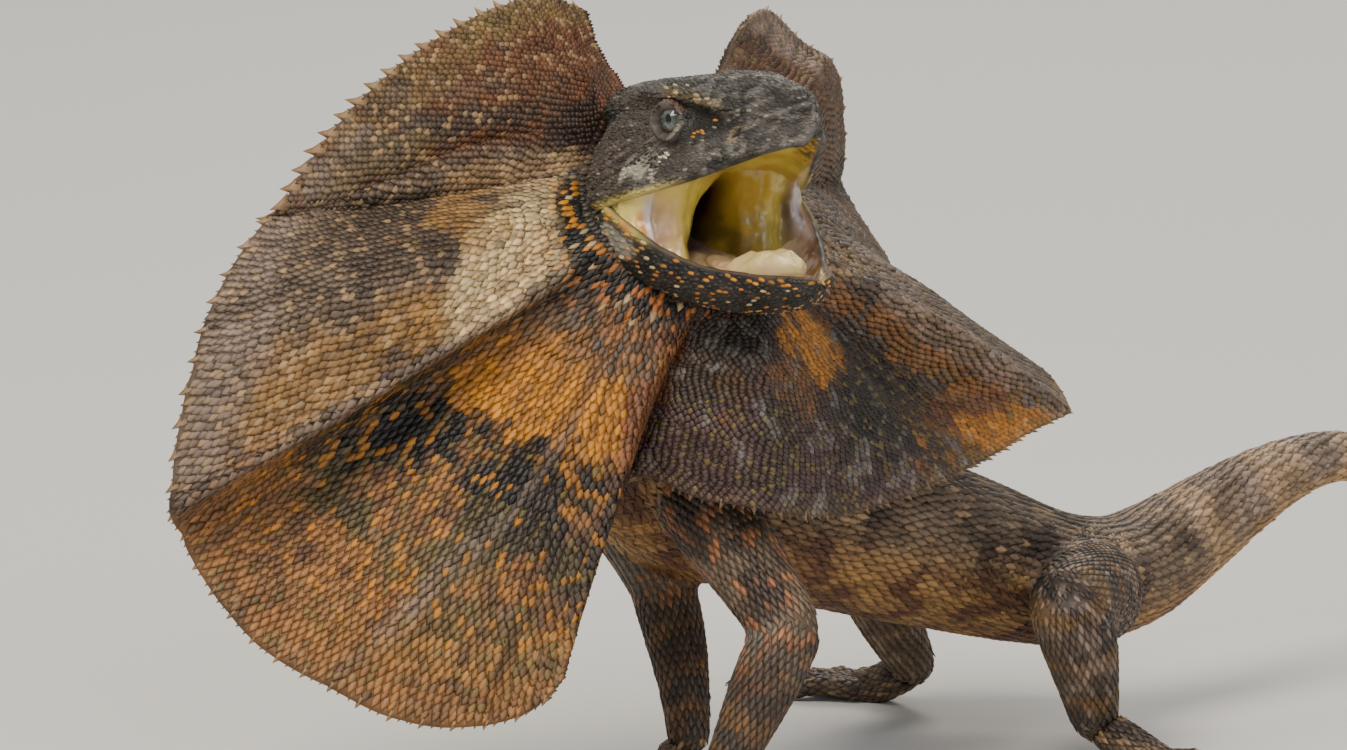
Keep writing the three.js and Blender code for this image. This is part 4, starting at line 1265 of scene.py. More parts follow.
def heading_step(start: Array, degrees: float, length: float, height: float) -> Array:
    """A place some way from another along a heading on the floor, at a height."""
    turn = math.radians(degrees)
    return np.array([start[0] + math.cos(turn) * length, start[1] + math.sin(turn) * length, height])


@dataclass
class Digit:
    """One toe: its centre line and where its claw grows."""

    joints: list[list[float]]
    tip: Array
    heading: float


def digits_of(paw: str) -> list[Digit]:
    """Toes of a paw as the solids have them."""
    palm, heading, spread, width, lengths = PAWS[paw]
    made = []
    for i, length in enumerate(lengths):
        turn = heading + spread * (2 - i)
        onward = turn * 0.6 + heading * 0.4
        root = heading_step(np.array(palm), turn, width * 0.3, 2.6)
        base = heading_step(np.array(palm), turn, width, 2.6)
        bend = heading_step(base, onward, length * 0.5, 3.4)
        tip = heading_step(bend, onward, length * 0.5, 1.5)
        joints = [[*root, 2.2], [*base, 2.0], [*bend, 1.7], [*tip, 1.45]]
        made.append(Digit(joints, tip, onward))
    return made


def all_tracks() -> list[Track]:
    """Every centre line of the body."""
    tracks = [
        spine_track("trunk", Region.TRUNK, 1.0, 10.0),
        spine_track("tail", Region.TAIL, 10.0, 20.9),
    ]
    for name, joints in LIMBS.items():
        region = Region.ARM if "arm" in name else Region.LEG
        tracks.append(tube_track(name, region, joints))
    for paw, limb in PAW_ENDS.items():
        palm, heading, _, width, _ = PAWS[paw]
        knuckles = heading_step(np.array(palm), heading, width * 0.8, 2.4)
        wrist = LIMBS[limb][-1][:3]
        joints = [[*wrist, 3.9], [*palm, width * 0.72], [*knuckles, width * 0.66]]
        tracks.append(tube_track(paw, Region.PAW, joints))
        for i, digit in enumerate(digits_of(paw)):
            tracks.append(tube_track(f"{paw}_{i}", Region.PAW, digit.joints))
    return tracks


@dataclass
class Bones:
    """All centre lines of the body together, to find where a place on the skin lies."""

    tracks: list[Track] = field(default_factory=all_tracks)
    batch: int = 20000
    stride: int = 3

    def locate(self, p: Array) -> tuple[Array, Array]:
        """Finds the nearest centre line, measured in its radii.

        Args:
            p: Places in the design frame.

        Returns:
            The region number and the run along the line.
        """
        best = np.full(len(p), 1e9)
        region = np.zeros(len(p), dtype=int)
        run = np.zeros(len(p))
        for track in self.tracks:
            pick = np.arange(0, len(track.centre), self.stride)
            for start in range(0, len(p), self.batch):
                q = p[start : start + self.batch]
                gap = q[:, None] - track.centre[pick][None]
                share = (gap**2).sum(axis=2) / (track.radii[pick, 0] ** 2)[None]
                near = share.argmin(axis=1)
                value = share[np.arange(len(q)), near]
                better = value < best[start : start + len(q)]
                rows = np.arange(start, start + len(q))[better]
                best[rows] = value[better]
                region[rows] = track.region.value
                run[rows] = track.run[pick[near][better]]
        return region, run


BONES = Bones()


def body_marks(p: Array, normal: Array) -> Array:
    """Markings of the trunk, tail, legs and paws, shared by skin and scales.

    Args:
        p: Places in the design frame.
        normal: Outward directions there.

    Returns:
        Linear colours.
    """
    region, run = BONES.locate(p)
    big, small, tiny = noise(p, 18, 41, 3), noise(p, 6, 42, 3), noise(p, 2.2, 43, 2)
    under = 1 - ramp(-0.75, 0.05, normal[:, 2])
    band = ramp(-0.3, 0.7, np.sin(run / 26 * 2 * np.pi + 1.2 * big) + 0.6 * small)
    bar = ramp(0.1, 0.9, np.sin(run / 8.5 * 2 * np.pi + 2.5 * big) + 0.7 * small)
    copper = layered(
        Paint.UMBER,
        (Paint.BROWN, ramp(-0.4, 0.4, small)),
        (Paint.SLATE_PALE, ramp(0.1, 0.8, big - 0.4 * tiny) * 0.55),
        (Paint.COPPER, ramp(0.0, 0.6, tiny + 0.3 * big) * 0.6),
    )
    dusk = mix(Paint.UMBER, Paint.SLATE_DARK, ramp(-0.3, 0.5, small))
    trunk = layered(
        Paint.BROWN,
        (Paint.UMBER, ramp(-0.3, 0.5, small + 0.4 * big)),
        (Paint.TAN, ramp(0.25, 0.9, tiny + 0.5 * big) * 0.5),
        (Paint.SLATE_PALE, ramp(0.3, 0.9, big - 0.2 * small) * 0.5),
        (mix(Paint.OCHRE, Paint.RUST, ramp(-0.3, 0.5, small)), under * 0.6),
    )
    tail = layered(
        mix(Paint.BROWN, Paint.ASH, ramp(-0.4, 0.5, small)),
        (Paint.TAN, band * 0.45),
        (Paint.UMBER, ramp(-0.1, 0.8, tiny - 0.6 * band) * 0.45),
        (Paint.OCHRE, under * (1 - ramp(60, 160, run)) * 0.6),
        (Paint.CREAM, under * ramp(60, 160, run) * 0.25),
    )
    arm = mix(copper, mix(dusk, Paint.OCHRE, bar * 0.22), ramp(44, 30, p[:, 2]) * 0.75)
    leg = layered(
        mix(dusk, Paint.BROWN, ramp(-0.2, 0.6, big)),
        (Paint.OCHRE, bar * 0.25),
        (Paint.ASH, ramp(0.1, 0.7, tiny) * 0.5),
    )
    paw = layered(
        Paint.UMBER,
        (Paint.BROWN, ramp(-0.4, 0.5, small)),
        (Paint.TAN, ramp(0.2, 0.8, tiny) * 0.4),
    )
    looks = np.stack([trunk, tail, arm, leg, paw])
    colour = looks[region, np.arange(len(p))]
    return colour * (1 + 0.2 * tiny[:, None])


def skull_marks(h: Array) -> Array:
    """Markings of the upper head, its palate and its lids, from places in the head's frame."""
    x, y, z = h.T
    w = np.abs(y)
    _, lip, lip_z, _, brow_z, _ = at_station(SKULL, x).T
    small, tiny = noise(h, 5, 51, 3), noise(h, 1.6, 52, 2)
    streak = noise(h * [0.3, 1.0, 1.5], 1.5, 53, 2)
    ripple = np.sin(z * 3.3 - x * 0.9 + 3.5 * noise(h, 6, 54, 2))
    creased = bump(x, 7, 10) * bump(z, 7.5, 6.5) * (w > 5)
    brow = bump(z, 0.4 + brow_z, 1.0) * ramp(14, 17, x) * (1 - ramp(20, 34, x)) * (w > 5)
    hollow = bump(z, brow_z - 3.6, 2.4) * bump(x, 23.5, 6.0) * (w > 4)
    ragged = 0.7 * small + 0.5 * tiny
    shed = 1 - ramp(0.8, 0.95, np.hypot((x - 10.4) / 3.2, (z - 4.4 + 0.3 * (x - 10)) / 2.7) + ragged)
    nose = np.hypot(x - 31.6, z - 6.4)
    colour = layered(
        Paint.SLATE,
        (Paint.SLATE_DARK, ramp(-0.3, 0.5, small)),
        (Paint.SLATE_PALE, ramp(0.2, 0.9, tiny + 0.5 * small) * 0.5),
        (Paint.UMBER, bump(x, 3, 9) * bump(z, 8, 7) * 0.45),
        (Paint.SLATE_PALE, ramp(0.1, 0.7, streak) * ramp(16, 30, x) * 0.5),
        (Paint.BLACK, ramp(0.15, 0.7, -streak) * ramp(12, 24, x) * 0.5),
        # Painted shade in the wrinkles behind the eye, and paler painted light on the skin between them
        (Paint.BLACK, ramp(0.2, 0.9, ripple) * creased * 0.6),
        (Paint.ASH, ramp(0.4, 1.0, -ripple) * creased * 0.3),
        (Paint.OLIVE, brow * 0.5),
        (Paint.CREAM, brow * ramp(0.1, 0.7, tiny) * 0.5),
        # Painted shadow in the hollow under the canthal ridge, in front of the eye
        (Paint.BLACK, np.clip(hollow * 1.3, 0, 1) * 0.95),
        (Paint.SHED, shed * (y < -8) * 0.8),
        (Paint.TAN, bump(nose, 1.1, 0.5) * (w > 3) * 0.4),
        # Painted shade inside each nostril
        (Paint.BLACK, (1 - ramp(0.4, 1.0, nose)) * (w > 3)),
    )
    for side in (-1, 1):
        local, across, rise, e = about_eye(h, side)
        away = np.linalg.norm(local, axis=1)
        facing = local[:, 0] / np.maximum(away, 1e-6)
        near = (facing > 0.3) * (away < 9)
        ring = bump(e, 1.22, 0.2) * near
        pale = layered(
            Paint.SLATE_PALE,
            (Paint.BONE, ramp(5, 28, -rise) * ramp(-10, 20, across) * 0.7),
            (Paint.CHESTNUT, ramp(5, 28, rise) * 0.6),
        )
        colour = layered(
            colour,
            (pale, ring * 0.36),
            (Paint.CHESTNUT, bump(e, 1.62, 0.22) * near * ramp(10, 30, rise) * 0.7),
            (Paint.BLACK, (1 - ramp(0.98, 1.08, e)) * near),
        )
    edge, arch = lip_edge(lip), palate_arch(lip)
    inner = ramp(0.0, 0.6, lip - edge * 0.5 - w) * (1 - ramp(0.3, 1.0, z - lip_z - arch)) * (x > -14)
    inner = inner * (1 - ramp(43.5, 46.0, x))
    far = ramp(22, 30, x) * ramp(1, 3, y) * ramp(6, 3, lip - w)
    roof = layered(
        Paint.LEMON,
        (Paint.LINING, ramp(-0.3, 0.7, small + 0.3 * ramp(30, 5, x))),
        (Paint.OLIVE, bump(x, 14, 9) * bump(w, 0, 6) * 0.3),
        (Paint.LIP, ramp(3.5, 1.0, lip - w) * 0.8),
        (Paint.OCHRE, far * 0.6),
        (Paint.UMBER, far * ramp(-0.4, 0.3, tiny) * 0.85),
    )
    seam = bump(z - lip_z, 0.4, 0.7) * ramp(0.0, 1.4, w - lip + edge) * (1 - ramp(12, 22, x))
    colour = layered(
        colour,
        (roof, inner),
        (Paint.LIP, seam * 0.7),
    )
    return colour * (1 + 0.16 * tiny[:, None] * (1 - inner[:, None]))


def jaw_marks(j: Array) -> Array:
    """Markings of the lower jaw and the mouth's floor, from places in the opened jaw's frame."""
    x, y, z = j.T
    w = np.abs(y)
    _, wide, lip_z, floor, _ = at_station(MANDIBLE, x).T
    small, tiny = noise(j, 5, 61, 3), noise(j, 1.8, 62, 2)
    shed = 1 - ramp(0.75, 1.2, np.hypot((x - 5.5) / 6.5, (z + 5.6) / 2.6) + 0.4 * small)
    rim = bump(z - lip_z, -0.3, 0.8) * ramp(-1.4, 0.6, w - wide)
    edge = lip_edge(wide)
    inner = ramp(-0.2, 0.9, wide - edge * 0.55 - w) * ramp(-0.5, 0.4, z - lip_z + floor * 1.06)
    vein = ramp(-0.1, 0.4, noise(j * [0.5, 1.6, 1.2], 2.2, 64, 2)) * ramp(8, 12, x)
    fold = ramp(2.5, 4.5, y) * ramp(12, 20, x) * ramp(-0.5, 0.3, small + tiny)
    bed = layered(
        Paint.FLESH,
        (Paint.CREAM, ramp(-0.5, 0.4, small)),
        (Paint.BONE, ramp(14, 30, x) * 0.5),
        (Paint.LIP, ramp(4.0, 1.0, wide - w) * ramp(-0.3, 0.5, small) * 0.6),
        (Paint.CHESTNUT, vein * ramp(6.5, 3.0, wide - w) * 0.65),
        (Paint.LAVENDER, bump(y, 14, 4) * 0.45),
        (Paint.CHESTNUT, fold * 0.85),
        (Paint.LAVENDER, bump(wide - w, 3.0, 1.0) * (y > 0) * ramp(0.2, -0.3, tiny) * 0.6),
        # Painted shade at the back of the mouth's floor, towards the throat
        (Paint.THROAT_SHADE, (1 - ramp(0, 9, x)) * ramp(11, 7, w) * 0.9),
    )
    colour = layered(
        Paint.SLATE_DARK,
        (Paint.BLACK, ramp(-0.3, 0.4, small)),
        (Paint.UMBER, ramp(0.1, 0.7, tiny) * 0.5),
        (Paint.SHED, shed * (y < -6) * 0.55),
        (Paint.LIP, rim * (1 - ramp(9, 16, x)) * 0.9),
        (Paint.ORANGE, rim * bump(x, 7.0, 2.2) * (y < 0) * 0.9),
        (Paint.TAN, rim * ramp(9, 16, x) * ramp(-0.6, 0.4, z - lip_z) * 0.5),
        (bed, inner),
    )
    return colour * (1 + 0.12 * tiny[:, None])


# Nearly black painted shade deep in the throat, as linear values
THROAT_DEPTH_SHADE = np.full(3, 0.003)


def lining_marks(h: Array) -> Array:
    """Markings of the cheeks, swellings and throat at the mouth's back, in the head's frame."""
    _, y, z = h.T
    small, tiny = noise(h, 4, 71, 3), noise(h, 1.5, 72, 2)
    far = layered(
        Paint.LINING,
        (Paint.OLIVE, ramp(-0.5, 0.6, small - (z + 6) * 0.12) * 0.75),
        (Paint.LEMON, bump(y, 11.5, 2.8) * 0.5),
    )
    near = layered(
        Paint.LEMON,
        (Paint.LIP, ramp(-7, -10, y) * 0.6),
        (Paint.FLESH, bump(y, -12.3, 2.2) * bump(z, -6, 5) * 0.85),
    )
    wet = noise(h * [0.6, 1.2, 0.8], 1.6, 74, 2)
    raw = bump(y, -12.5, 3.5) * ramp(-5, -9, z)
    mottle = ramp(-0.2, 0.3, tiny + small) * ramp(15, 16, y) * ramp(-3, -6, z)
    line = slit_line(y, z)
    slit = bump(line, 0, 1.3 + 0.2 * np.clip(2 - z, 0, 9)) * ramp(4.0, 0.5, z)
    colour = layered(
        near,
        (far, ramp(-3, 1, y)),
        (Paint.LAVENDER, bump(y, -15.6, 1.8) * ramp(2, -3, z) * 0.85),
        (Paint.LIP, ramp(-16.4, -17.4, y)),
        (Paint.AMBER, bump(y, -17.0, 0.6) * ramp(-1.5, -4, z) * 0.9),
        (Paint.CHESTNUT, raw * ramp(-0.1, 0.5, wet) * 0.6),
        (Paint.FLESH, raw * ramp(0.1, 0.6, -wet) * 0.6),
        (Paint.LAVENDER, bump(y, 16.4, 1.6) * 0.8),
        (Paint.UMBER, bump(y, 14.6, 1.0) * bump(z, -5, 5) * 0.85),
        (Paint.UMBER, mottle * 0.6),
        (Paint.RUST, bump(y, 17.6, 0.8) * bump(z, -8, 4) * 0.6),
        (Paint.LEMON, ramp(17.8, 19.4, y) * 0.6),
        (Paint.LINING, ramp(0.5, 3.0, z) * (np.abs(y) < 13)),
        (Paint.RUST, bump(line, 1.6, 1.2) * bump(z, -2.5, 2.5) * 0.7),
        # Painted shade in the throat's slit, nearly black deep down
        (Paint.THROAT_SHADE, np.clip(slit * 1.7, 0, 1)),
        (THROAT_DEPTH_SHADE, np.clip(slit * 1.5, 0, 1) * ramp(-2, -7, z)),
    )
    return colour * (1 + 0.08 * tiny[:, None])


@dataclass(frozen=True)
class Scale:
    """Shape of one scale of unit length and width, with a tint for each corner: painted shade low down,
    painted highlight up top.
    """

    corners: tuple[tuple[float, float, float], ...]
    faces: tuple[tuple[int, int, int], ...]
    tint: tuple[float, ...]


# Tints paint shade on the root and underside of each scale and a highlight on its keel, tip or top
KEELED = Scale(
    ((-0.5, 0, -0.12), (-0.05, 0.5, -0.03), (-0.05, -0.5, -0.03), (0.6, 0, 0.16),
     (-0.25, 0, 0.14), (0.3, 0, 0.3), (0.1, 0, -0.3)),
    ((0, 4, 1), (4, 5, 1), (5, 3, 1), (0, 2, 4), (4, 2, 5), (5, 2, 3),
     (0, 1, 6), (1, 3, 6), (3, 2, 6), (2, 0, 6)),
    (0.45, 0.62, 0.62, 1.12, 0.95, 1.16, 0.4),
)
GRANULE = Scale(
    ((-0.5, 0, -0.1), (-0.2, 0.42, -0.1), (0.28, 0.4, -0.08), (0.52, 0, -0.02), (0.28, -0.4, -0.08),
     (-0.2, -0.42, -0.1), (-0.12, 0, 0.26), (0.22, 0, 0.26), (0, 0, -0.35)),
    ((0, 6, 1), (1, 6, 7), (1, 7, 2), (2, 7, 3), (3, 7, 4), (4, 7, 5), (5, 7, 6), (5, 6, 0),
     (0, 1, 8), (1, 2, 8), (2, 3, 8), (3, 4, 8), (4, 5, 8), (5, 0, 8)),
    (0.65, 0.75, 0.8, 0.9, 0.8, 0.75, 1.15, 1.25, 0.4),
)
THORN = Scale(
    ((-0.5, 0.5, -0.4), (-0.5, -0.5, -0.4), (-0.4, 0, 0.5), (0.3, 0.16, -0.1), (0.3, -0.16, -0.1),
     (0.26, 0, 0.3), (1.0, 0, 0.28)),
    ((0, 1, 2), (0, 4, 1), (0, 3, 4), (0, 5, 3), (0, 2, 5), (1, 5, 2), (1, 4, 5),
     (3, 6, 4), (4, 6, 5), (5, 6, 3)),
    (0.7, 0.7, 0.8, 1.1, 1.1, 1.2, 1.5),
)


# Corners with more tint than this take this share of bone for each unit above it: painted highlight, also
# paler tips
PALE_TIP_HIGHLIGHT_TINT = 1.15
PALE_TIP_HIGHLIGHT_SHARE = 0.35
# Width of one scale on the unwrap
CHART_SIZE = 0.003
# Fields of a coat that hold one row for each scale
PER_SCALE = ("places", "normals", "ways", "sizes", "marks", "chart")


@dataclass
class Coat:
    """Scales laid over the skin: places, directions, sizes, colours and their patch of the unwrap."""

    name: str
    shape: Scale
    places: Array
    normals: Array
    ways: Array
    sizes: Array
    marks: Array
    chart: Array

    def kept(self, chosen: Array) -> "Coat":
        """The same coat with only the chosen scales."""
        return replace(self, **{key: getattr(self, key)[chosen] for key in PER_SCALE})

    def build(self) -> bpy.types.Object:
        """Joins all scales of the coat into one mesh.

        Returns:
            The coat, with its colours in Mark and its unwrap in OFBake.
        """
        corners = np.array(self.shape.corners)
        faces = np.array(self.shape.faces)
        count, k = len(self.places), len(corners)
        normal = unit(self.normals)
        way = unit(self.ways - normal * (self.ways * normal).sum(axis=1, keepdims=True))
        across = np.cross(normal, way)
        size = self.sizes[:, None, :] * corners[None]
        points = self.places[:, None] + size[..., 0:1] * way[:, None]
        points = points + size[..., 1:2] * across[:, None] + size[..., 2:3] * normal[:, None]
        index = faces[None] + (np.arange(count) * k)[:, None, None]
        # Painted shade on the low corners of each scale, and a painted highlight with a little bone on the
        # high ones
        tint = np.array(self.shape.tint)[None, :, None]
        marks = self.marks[:, None] * tint
        pale = np.clip(tint - PALE_TIP_HIGHLIGHT_TINT, 0, 1) * PALE_TIP_HIGHLIGHT_SHARE
        marks = marks * (1 - pale) + linear(Paint.BONE) * pale * 0.5
        made = mesh_object(
            self.name, SHIFT.model(points.reshape(-1, 3)), index.reshape(-1, 3), marks.reshape(-1, 3)
        )
        layer = made.data.uv_layers.new(name="OFBake")
        patch = self.chart[:, None] + corners[None, :, :2] * CHART_SIZE
        spots = np.clip(patch.reshape(-1, 2)[index.reshape(-1)], 0, 1)
        layer.data.foreach_set("uv", spots.astype(np.float32).ravel())
        LOG.info("%s: %d scales, %d triangles", self.name, count, count * len(faces))
        return made


def thinned(places: Array, apart: Array) -> Array:
    """Marks scales to keep so that none lies nearer to a kept one than its own distance."""
    cell = float(apart.max())
    grid: dict[tuple[int, int, int], list[list[float]]] = {}
    keep = np.zeros(len(places), dtype=bool)
    cells = np.floor(places / cell).astype(int).tolist()
    around = [(i, j, k) for i in (-1, 0, 1) for j in (-1, 0, 1) for k in (-1, 0, 1)]
    for n, (place, (cx, cy, cz)) in enumerate(zip(places.tolist(), cells)):
        x, y, z = place
        near = apart[n] ** 2
        crowded = any(
            (x - u) ** 2 + (y - v) ** 2 + (z - w) ** 2 < near
            for i, j, k in around
            for u, v, w in grid.get((cx + i, cy + j, cz + k), ())
        )
        if not crowded:
            keep[n] = True
            grid.setdefault((cx, cy, cz), []).append(place)
    return keep


class Skin:
    """A finished skin that scales can be laid on."""

    def __init__(self, piece: bpy.types.Object) -> None:
        """Keeps a search tree of the skin's faces, and its triangles for random places."""
        self.tree = BVHTree.FromObject(piece, bpy.context.evaluated_depsgraph_get())
        mesh = piece.data
        mesh.calc_loop_triangles()
        index = np.empty(len(mesh.loop_triangles) * 3, dtype=np.int32)
        mesh.loop_triangles.foreach_get("vertices", index)
        self.corners = SHIFT.design(vertices(piece))[index.reshape(-1, 3)]
        self.ways = normals(piece)[index.reshape(-1, 3)]

    def spread(
        self, low: Array, high: Array, gape: float, density: float, seed: int
    ) -> tuple[Array, Array]:
        """Random places on the skin inside a box of the head's or jaw's frame.

        Args:
            low: Lowest corner of the box.
            high: Highest corner of the box.
            gape: Opening of the frame in degrees.
            density: Places a square millimetre.
            seed: Number that picks another spread.

        Returns:
            Places in the design frame and normals.
        """
        middle = to_head(self.corners.mean(axis=1), gape)
        inside = ((middle > low) & (middle < high)).all(axis=1)
        corners, ways = self.corners[inside], self.ways[inside]
        sides = corners[:, 1:] - corners[:, :1]
        area = np.linalg.norm(np.cross(sides[:, 0], sides[:, 1]), axis=1) / 2
        rng = np.random.default_rng(seed)
        count = int(area.sum() * density)
        pick = rng.choice(len(area), count, p=area / area.sum())
        a, b = rng.random((2, count))
        turned = a + b > 1
        a, b = np.where(turned, 1 - a, a), np.where(turned, 1 - b, b)
        share = np.stack([1 - a - b, a, b], axis=1)[..., None]
        return (corners[pick] * share).sum(axis=1), unit((ways[pick] * share).sum(axis=1))

    def nearest(self, p: Array) -> tuple[Array, Array, Array]:
        """Nearest places on the skin.

        Args:
            p: Places in the design frame.

        Returns:
            Places and normals on the skin, and distances in millimetres.
        """
        spots, ways, gaps = np.empty_like(p), np.empty_like(p), np.empty(len(p))
        for i, place in enumerate(SHIFT.model(p).tolist()):
            spot, way, _, gap = self.tree.find_nearest(place)
            spots[i], ways[i], gaps[i] = spot, way, gap
        return SHIFT.design(spots), ways, gaps / MM


def around_chart(t: Array) -> Array:
    """Places across the frill's unwrap from rib numbers round the frill."""
    return 0.01 + 0.98 * t / (len(RIBS) - 1)


@dataclass
class FrillCoats:
    """Lays rows of scales on both sides of the frill and thorns along its rim."""

    frill: Frill
    pitch: float = 2.05
    depth: float = 110.0
    sunk_rows: tuple[float, ...] = (-0.85, -0.55, -0.25)
    samples: int = 2400
    end_gap: float = 0.4
    jitter: float = 0.13
    tip_step: float = 0.01
    rim_pitch: float = 2.1

    def face(self, t: Array, v: Array, sign: float) -> tuple[Array, Array, Array]:
        """Middle of the sheet, its normals, and the places on its front (1) or back (-1)."""
        p, normal = self.frill.surface(t, v)
        return p, normal, p + normal * (self.frill.thickness(t, v)[:, None] / 2) * sign

    def rows(self, sign: float, rng: "np.random.Generator") -> Array:
        """Rib number, share of the way to the rim and width of the scales, row after row."""
        fine = np.linspace(0.03, len(RIBS) - 1.03, self.samples)
        count = int(self.depth / self.pitch)
        shares = [*self.sunk_rows, *((i + 0.4) * self.pitch / self.depth for i in range(count))]
        rows = []
        for i, v in enumerate(shares):
            run = travelled(self.face(fine, np.full(len(fine), v), sign)[2])
            wide = np.interp(v, [0, 0.2, 1.0], [1.3, 1.5, 1.7])
            places = np.arange(self.end_gap + (i % 2) * wide / 2, run[-1] - self.end_gap, wide)
            t = np.interp(places + rng.normal(0, self.jitter, len(places)), run, fine)
            rows.append(np.stack([t, np.full(len(t), v), np.full(len(t), wide)], axis=1))
        return np.concatenate(rows)

    def side(self, back: bool) -> Coat:
        """Rows of keeled scales on one side of the frill, pointing to its rim."""
        sign = -1.0 if back else 1.0
        rng = np.random.default_rng(SEED + back)
        t, v, wide = self.rows(sign, rng).T
        v = v + rng.normal(0, 0.0026, len(v))
        p, normal, on = self.face(t, v, sign)
        tips, _ = self.frill.surface(t, v + self.tip_step)
        shade = frill_marks(t, v, p, np.full(len(t), back))
        shade = self.speckled(shade, t, v, rng.random(len(t)), back)
        shade = shade * (0.62 + 0.44 * rng.random((len(t), 1)))
        along = np.linalg.norm(tips - p, axis=1) / self.tip_step
        long = np.where(v < 0, 2.2, self.pitch * along / self.depth * 1.75)
        long = np.clip(long, 1.5, 4.0) * (0.85 + 0.3 * rng.random(len(t)))
        wide = wide * (1.25 + 0.25 * rng.random(len(t)))
        sizes = np.stack([long, wide, 0.46 * wide], axis=1)
        chart = np.stack([around_chart(t), 0.05 + 0.92 * np.clip(v, -0.03, 1)], axis=1)
        axes = head_axes()
        coat = Coat(
            "frill_scales_back" if back else "frill_scales_front", KEELED, from_head(on),
            normal @ axes * sign, (tips - p) @ axes, sizes, shade, chart,
        )
        return coat.kept(v < 0.985)

    @staticmethod
    def speckled(shade: Array, t: Array, v: Array, pick: Array, back: bool) -> Array:
        """Colours single scales: flecks by the jaw, amber, olive and tan ones further out.

        Args:
            shade: Colours of the scales before.
            t: Rib number of each scale.
            v: Share of the way to the rim.
            pick: Random number of each scale.
            back: True on the rear side, which has no flecks or amber.

        Returns:
            The new colours.
        """
        speckle = bump(v, -0.02, 0.11) * ramp(4.8, 6.2, t) * (1 - ramp(17, 19, t))
        fleck = mix(Paint.AMBER, Paint.ORANGE, ramp(8.5, 10.5, t))
        glow = (pick > 0.84) * ramp(8.8, 9.6, t) * (1 - ramp(15, 16.5, t)) * ramp(0.35, 0.5, v)
        dots = layered(
            Paint.BLACK,
            (fleck, (pick < 0.3) * 0.9),
            (Paint.CREAM, (pick > 0.94) * 0.6),
        )
        return layered(
            shade,
            (dots, np.clip(speckle * 1.4, 0, 1) * (not back)),
            (Paint.AMBER, glow * 0.6 * (1 - ramp(0.8, 0.95, v)) * (not back)),
            (Paint.OLIVE, (pick < 0.14) * ramp(8.8, 9.6, t) * (v > 0.4) * 0.6),
            (Paint.TAN, (pick > 0.86) * (t < 9) * ramp(0.25, 0.5, v) * 0.5),
        )

    def rim(self) -> Coat:
        """Pointed scales that stand out from the frill's rim."""
        fine = np.linspace(0.1, len(RIBS) - 1.1, self.frill.samples)
        run = travelled(self.frill.middle(fine, np.ones(len(fine))))
        rng = np.random.default_rng(SEED + 5)
        wanted = np.arange(1.0, run[-1] - 1, self.rim_pitch)
        wanted = wanted + rng.normal(0, 0.2, len(wanted))
        t = np.interp(wanted, run, fine)
        p, normal = self.frill.surface(t, np.full(len(t), 0.995))
        inner, _ = self.frill.surface(t, np.full(len(t), 0.96))
        every = np.where(t < 5, 2, 3)
        tooth = frill_rows(t)[:, 7] * (np.arange(len(t)) % every == 0)
        long = 1.2 + tooth * 0.5 * (0.8 + 0.4 * rng.random(len(t)))
        sizes = np.stack([long, 2.0 + 0.9 * tooth, 1.3 + 0.4 * tooth], axis=1)
        base = frill_marks(t, np.full(len(t), 1.0), p, np.zeros(len(t), bool))
        shade = mix(base, Paint.TAN, 0.1 + 0.35 * ramp(0, 1.5, tooth)) * 0.85
        chart = np.stack([around_chart(t), np.full(len(t), 0.985)], axis=1)
        axes = head_axes()
        way = unit(p - inner) + normal * 0.12
        return Coat("frill_rim_scales", THORN, from_head(p), normal @ axes, way @ axes, sizes, shade, chart)


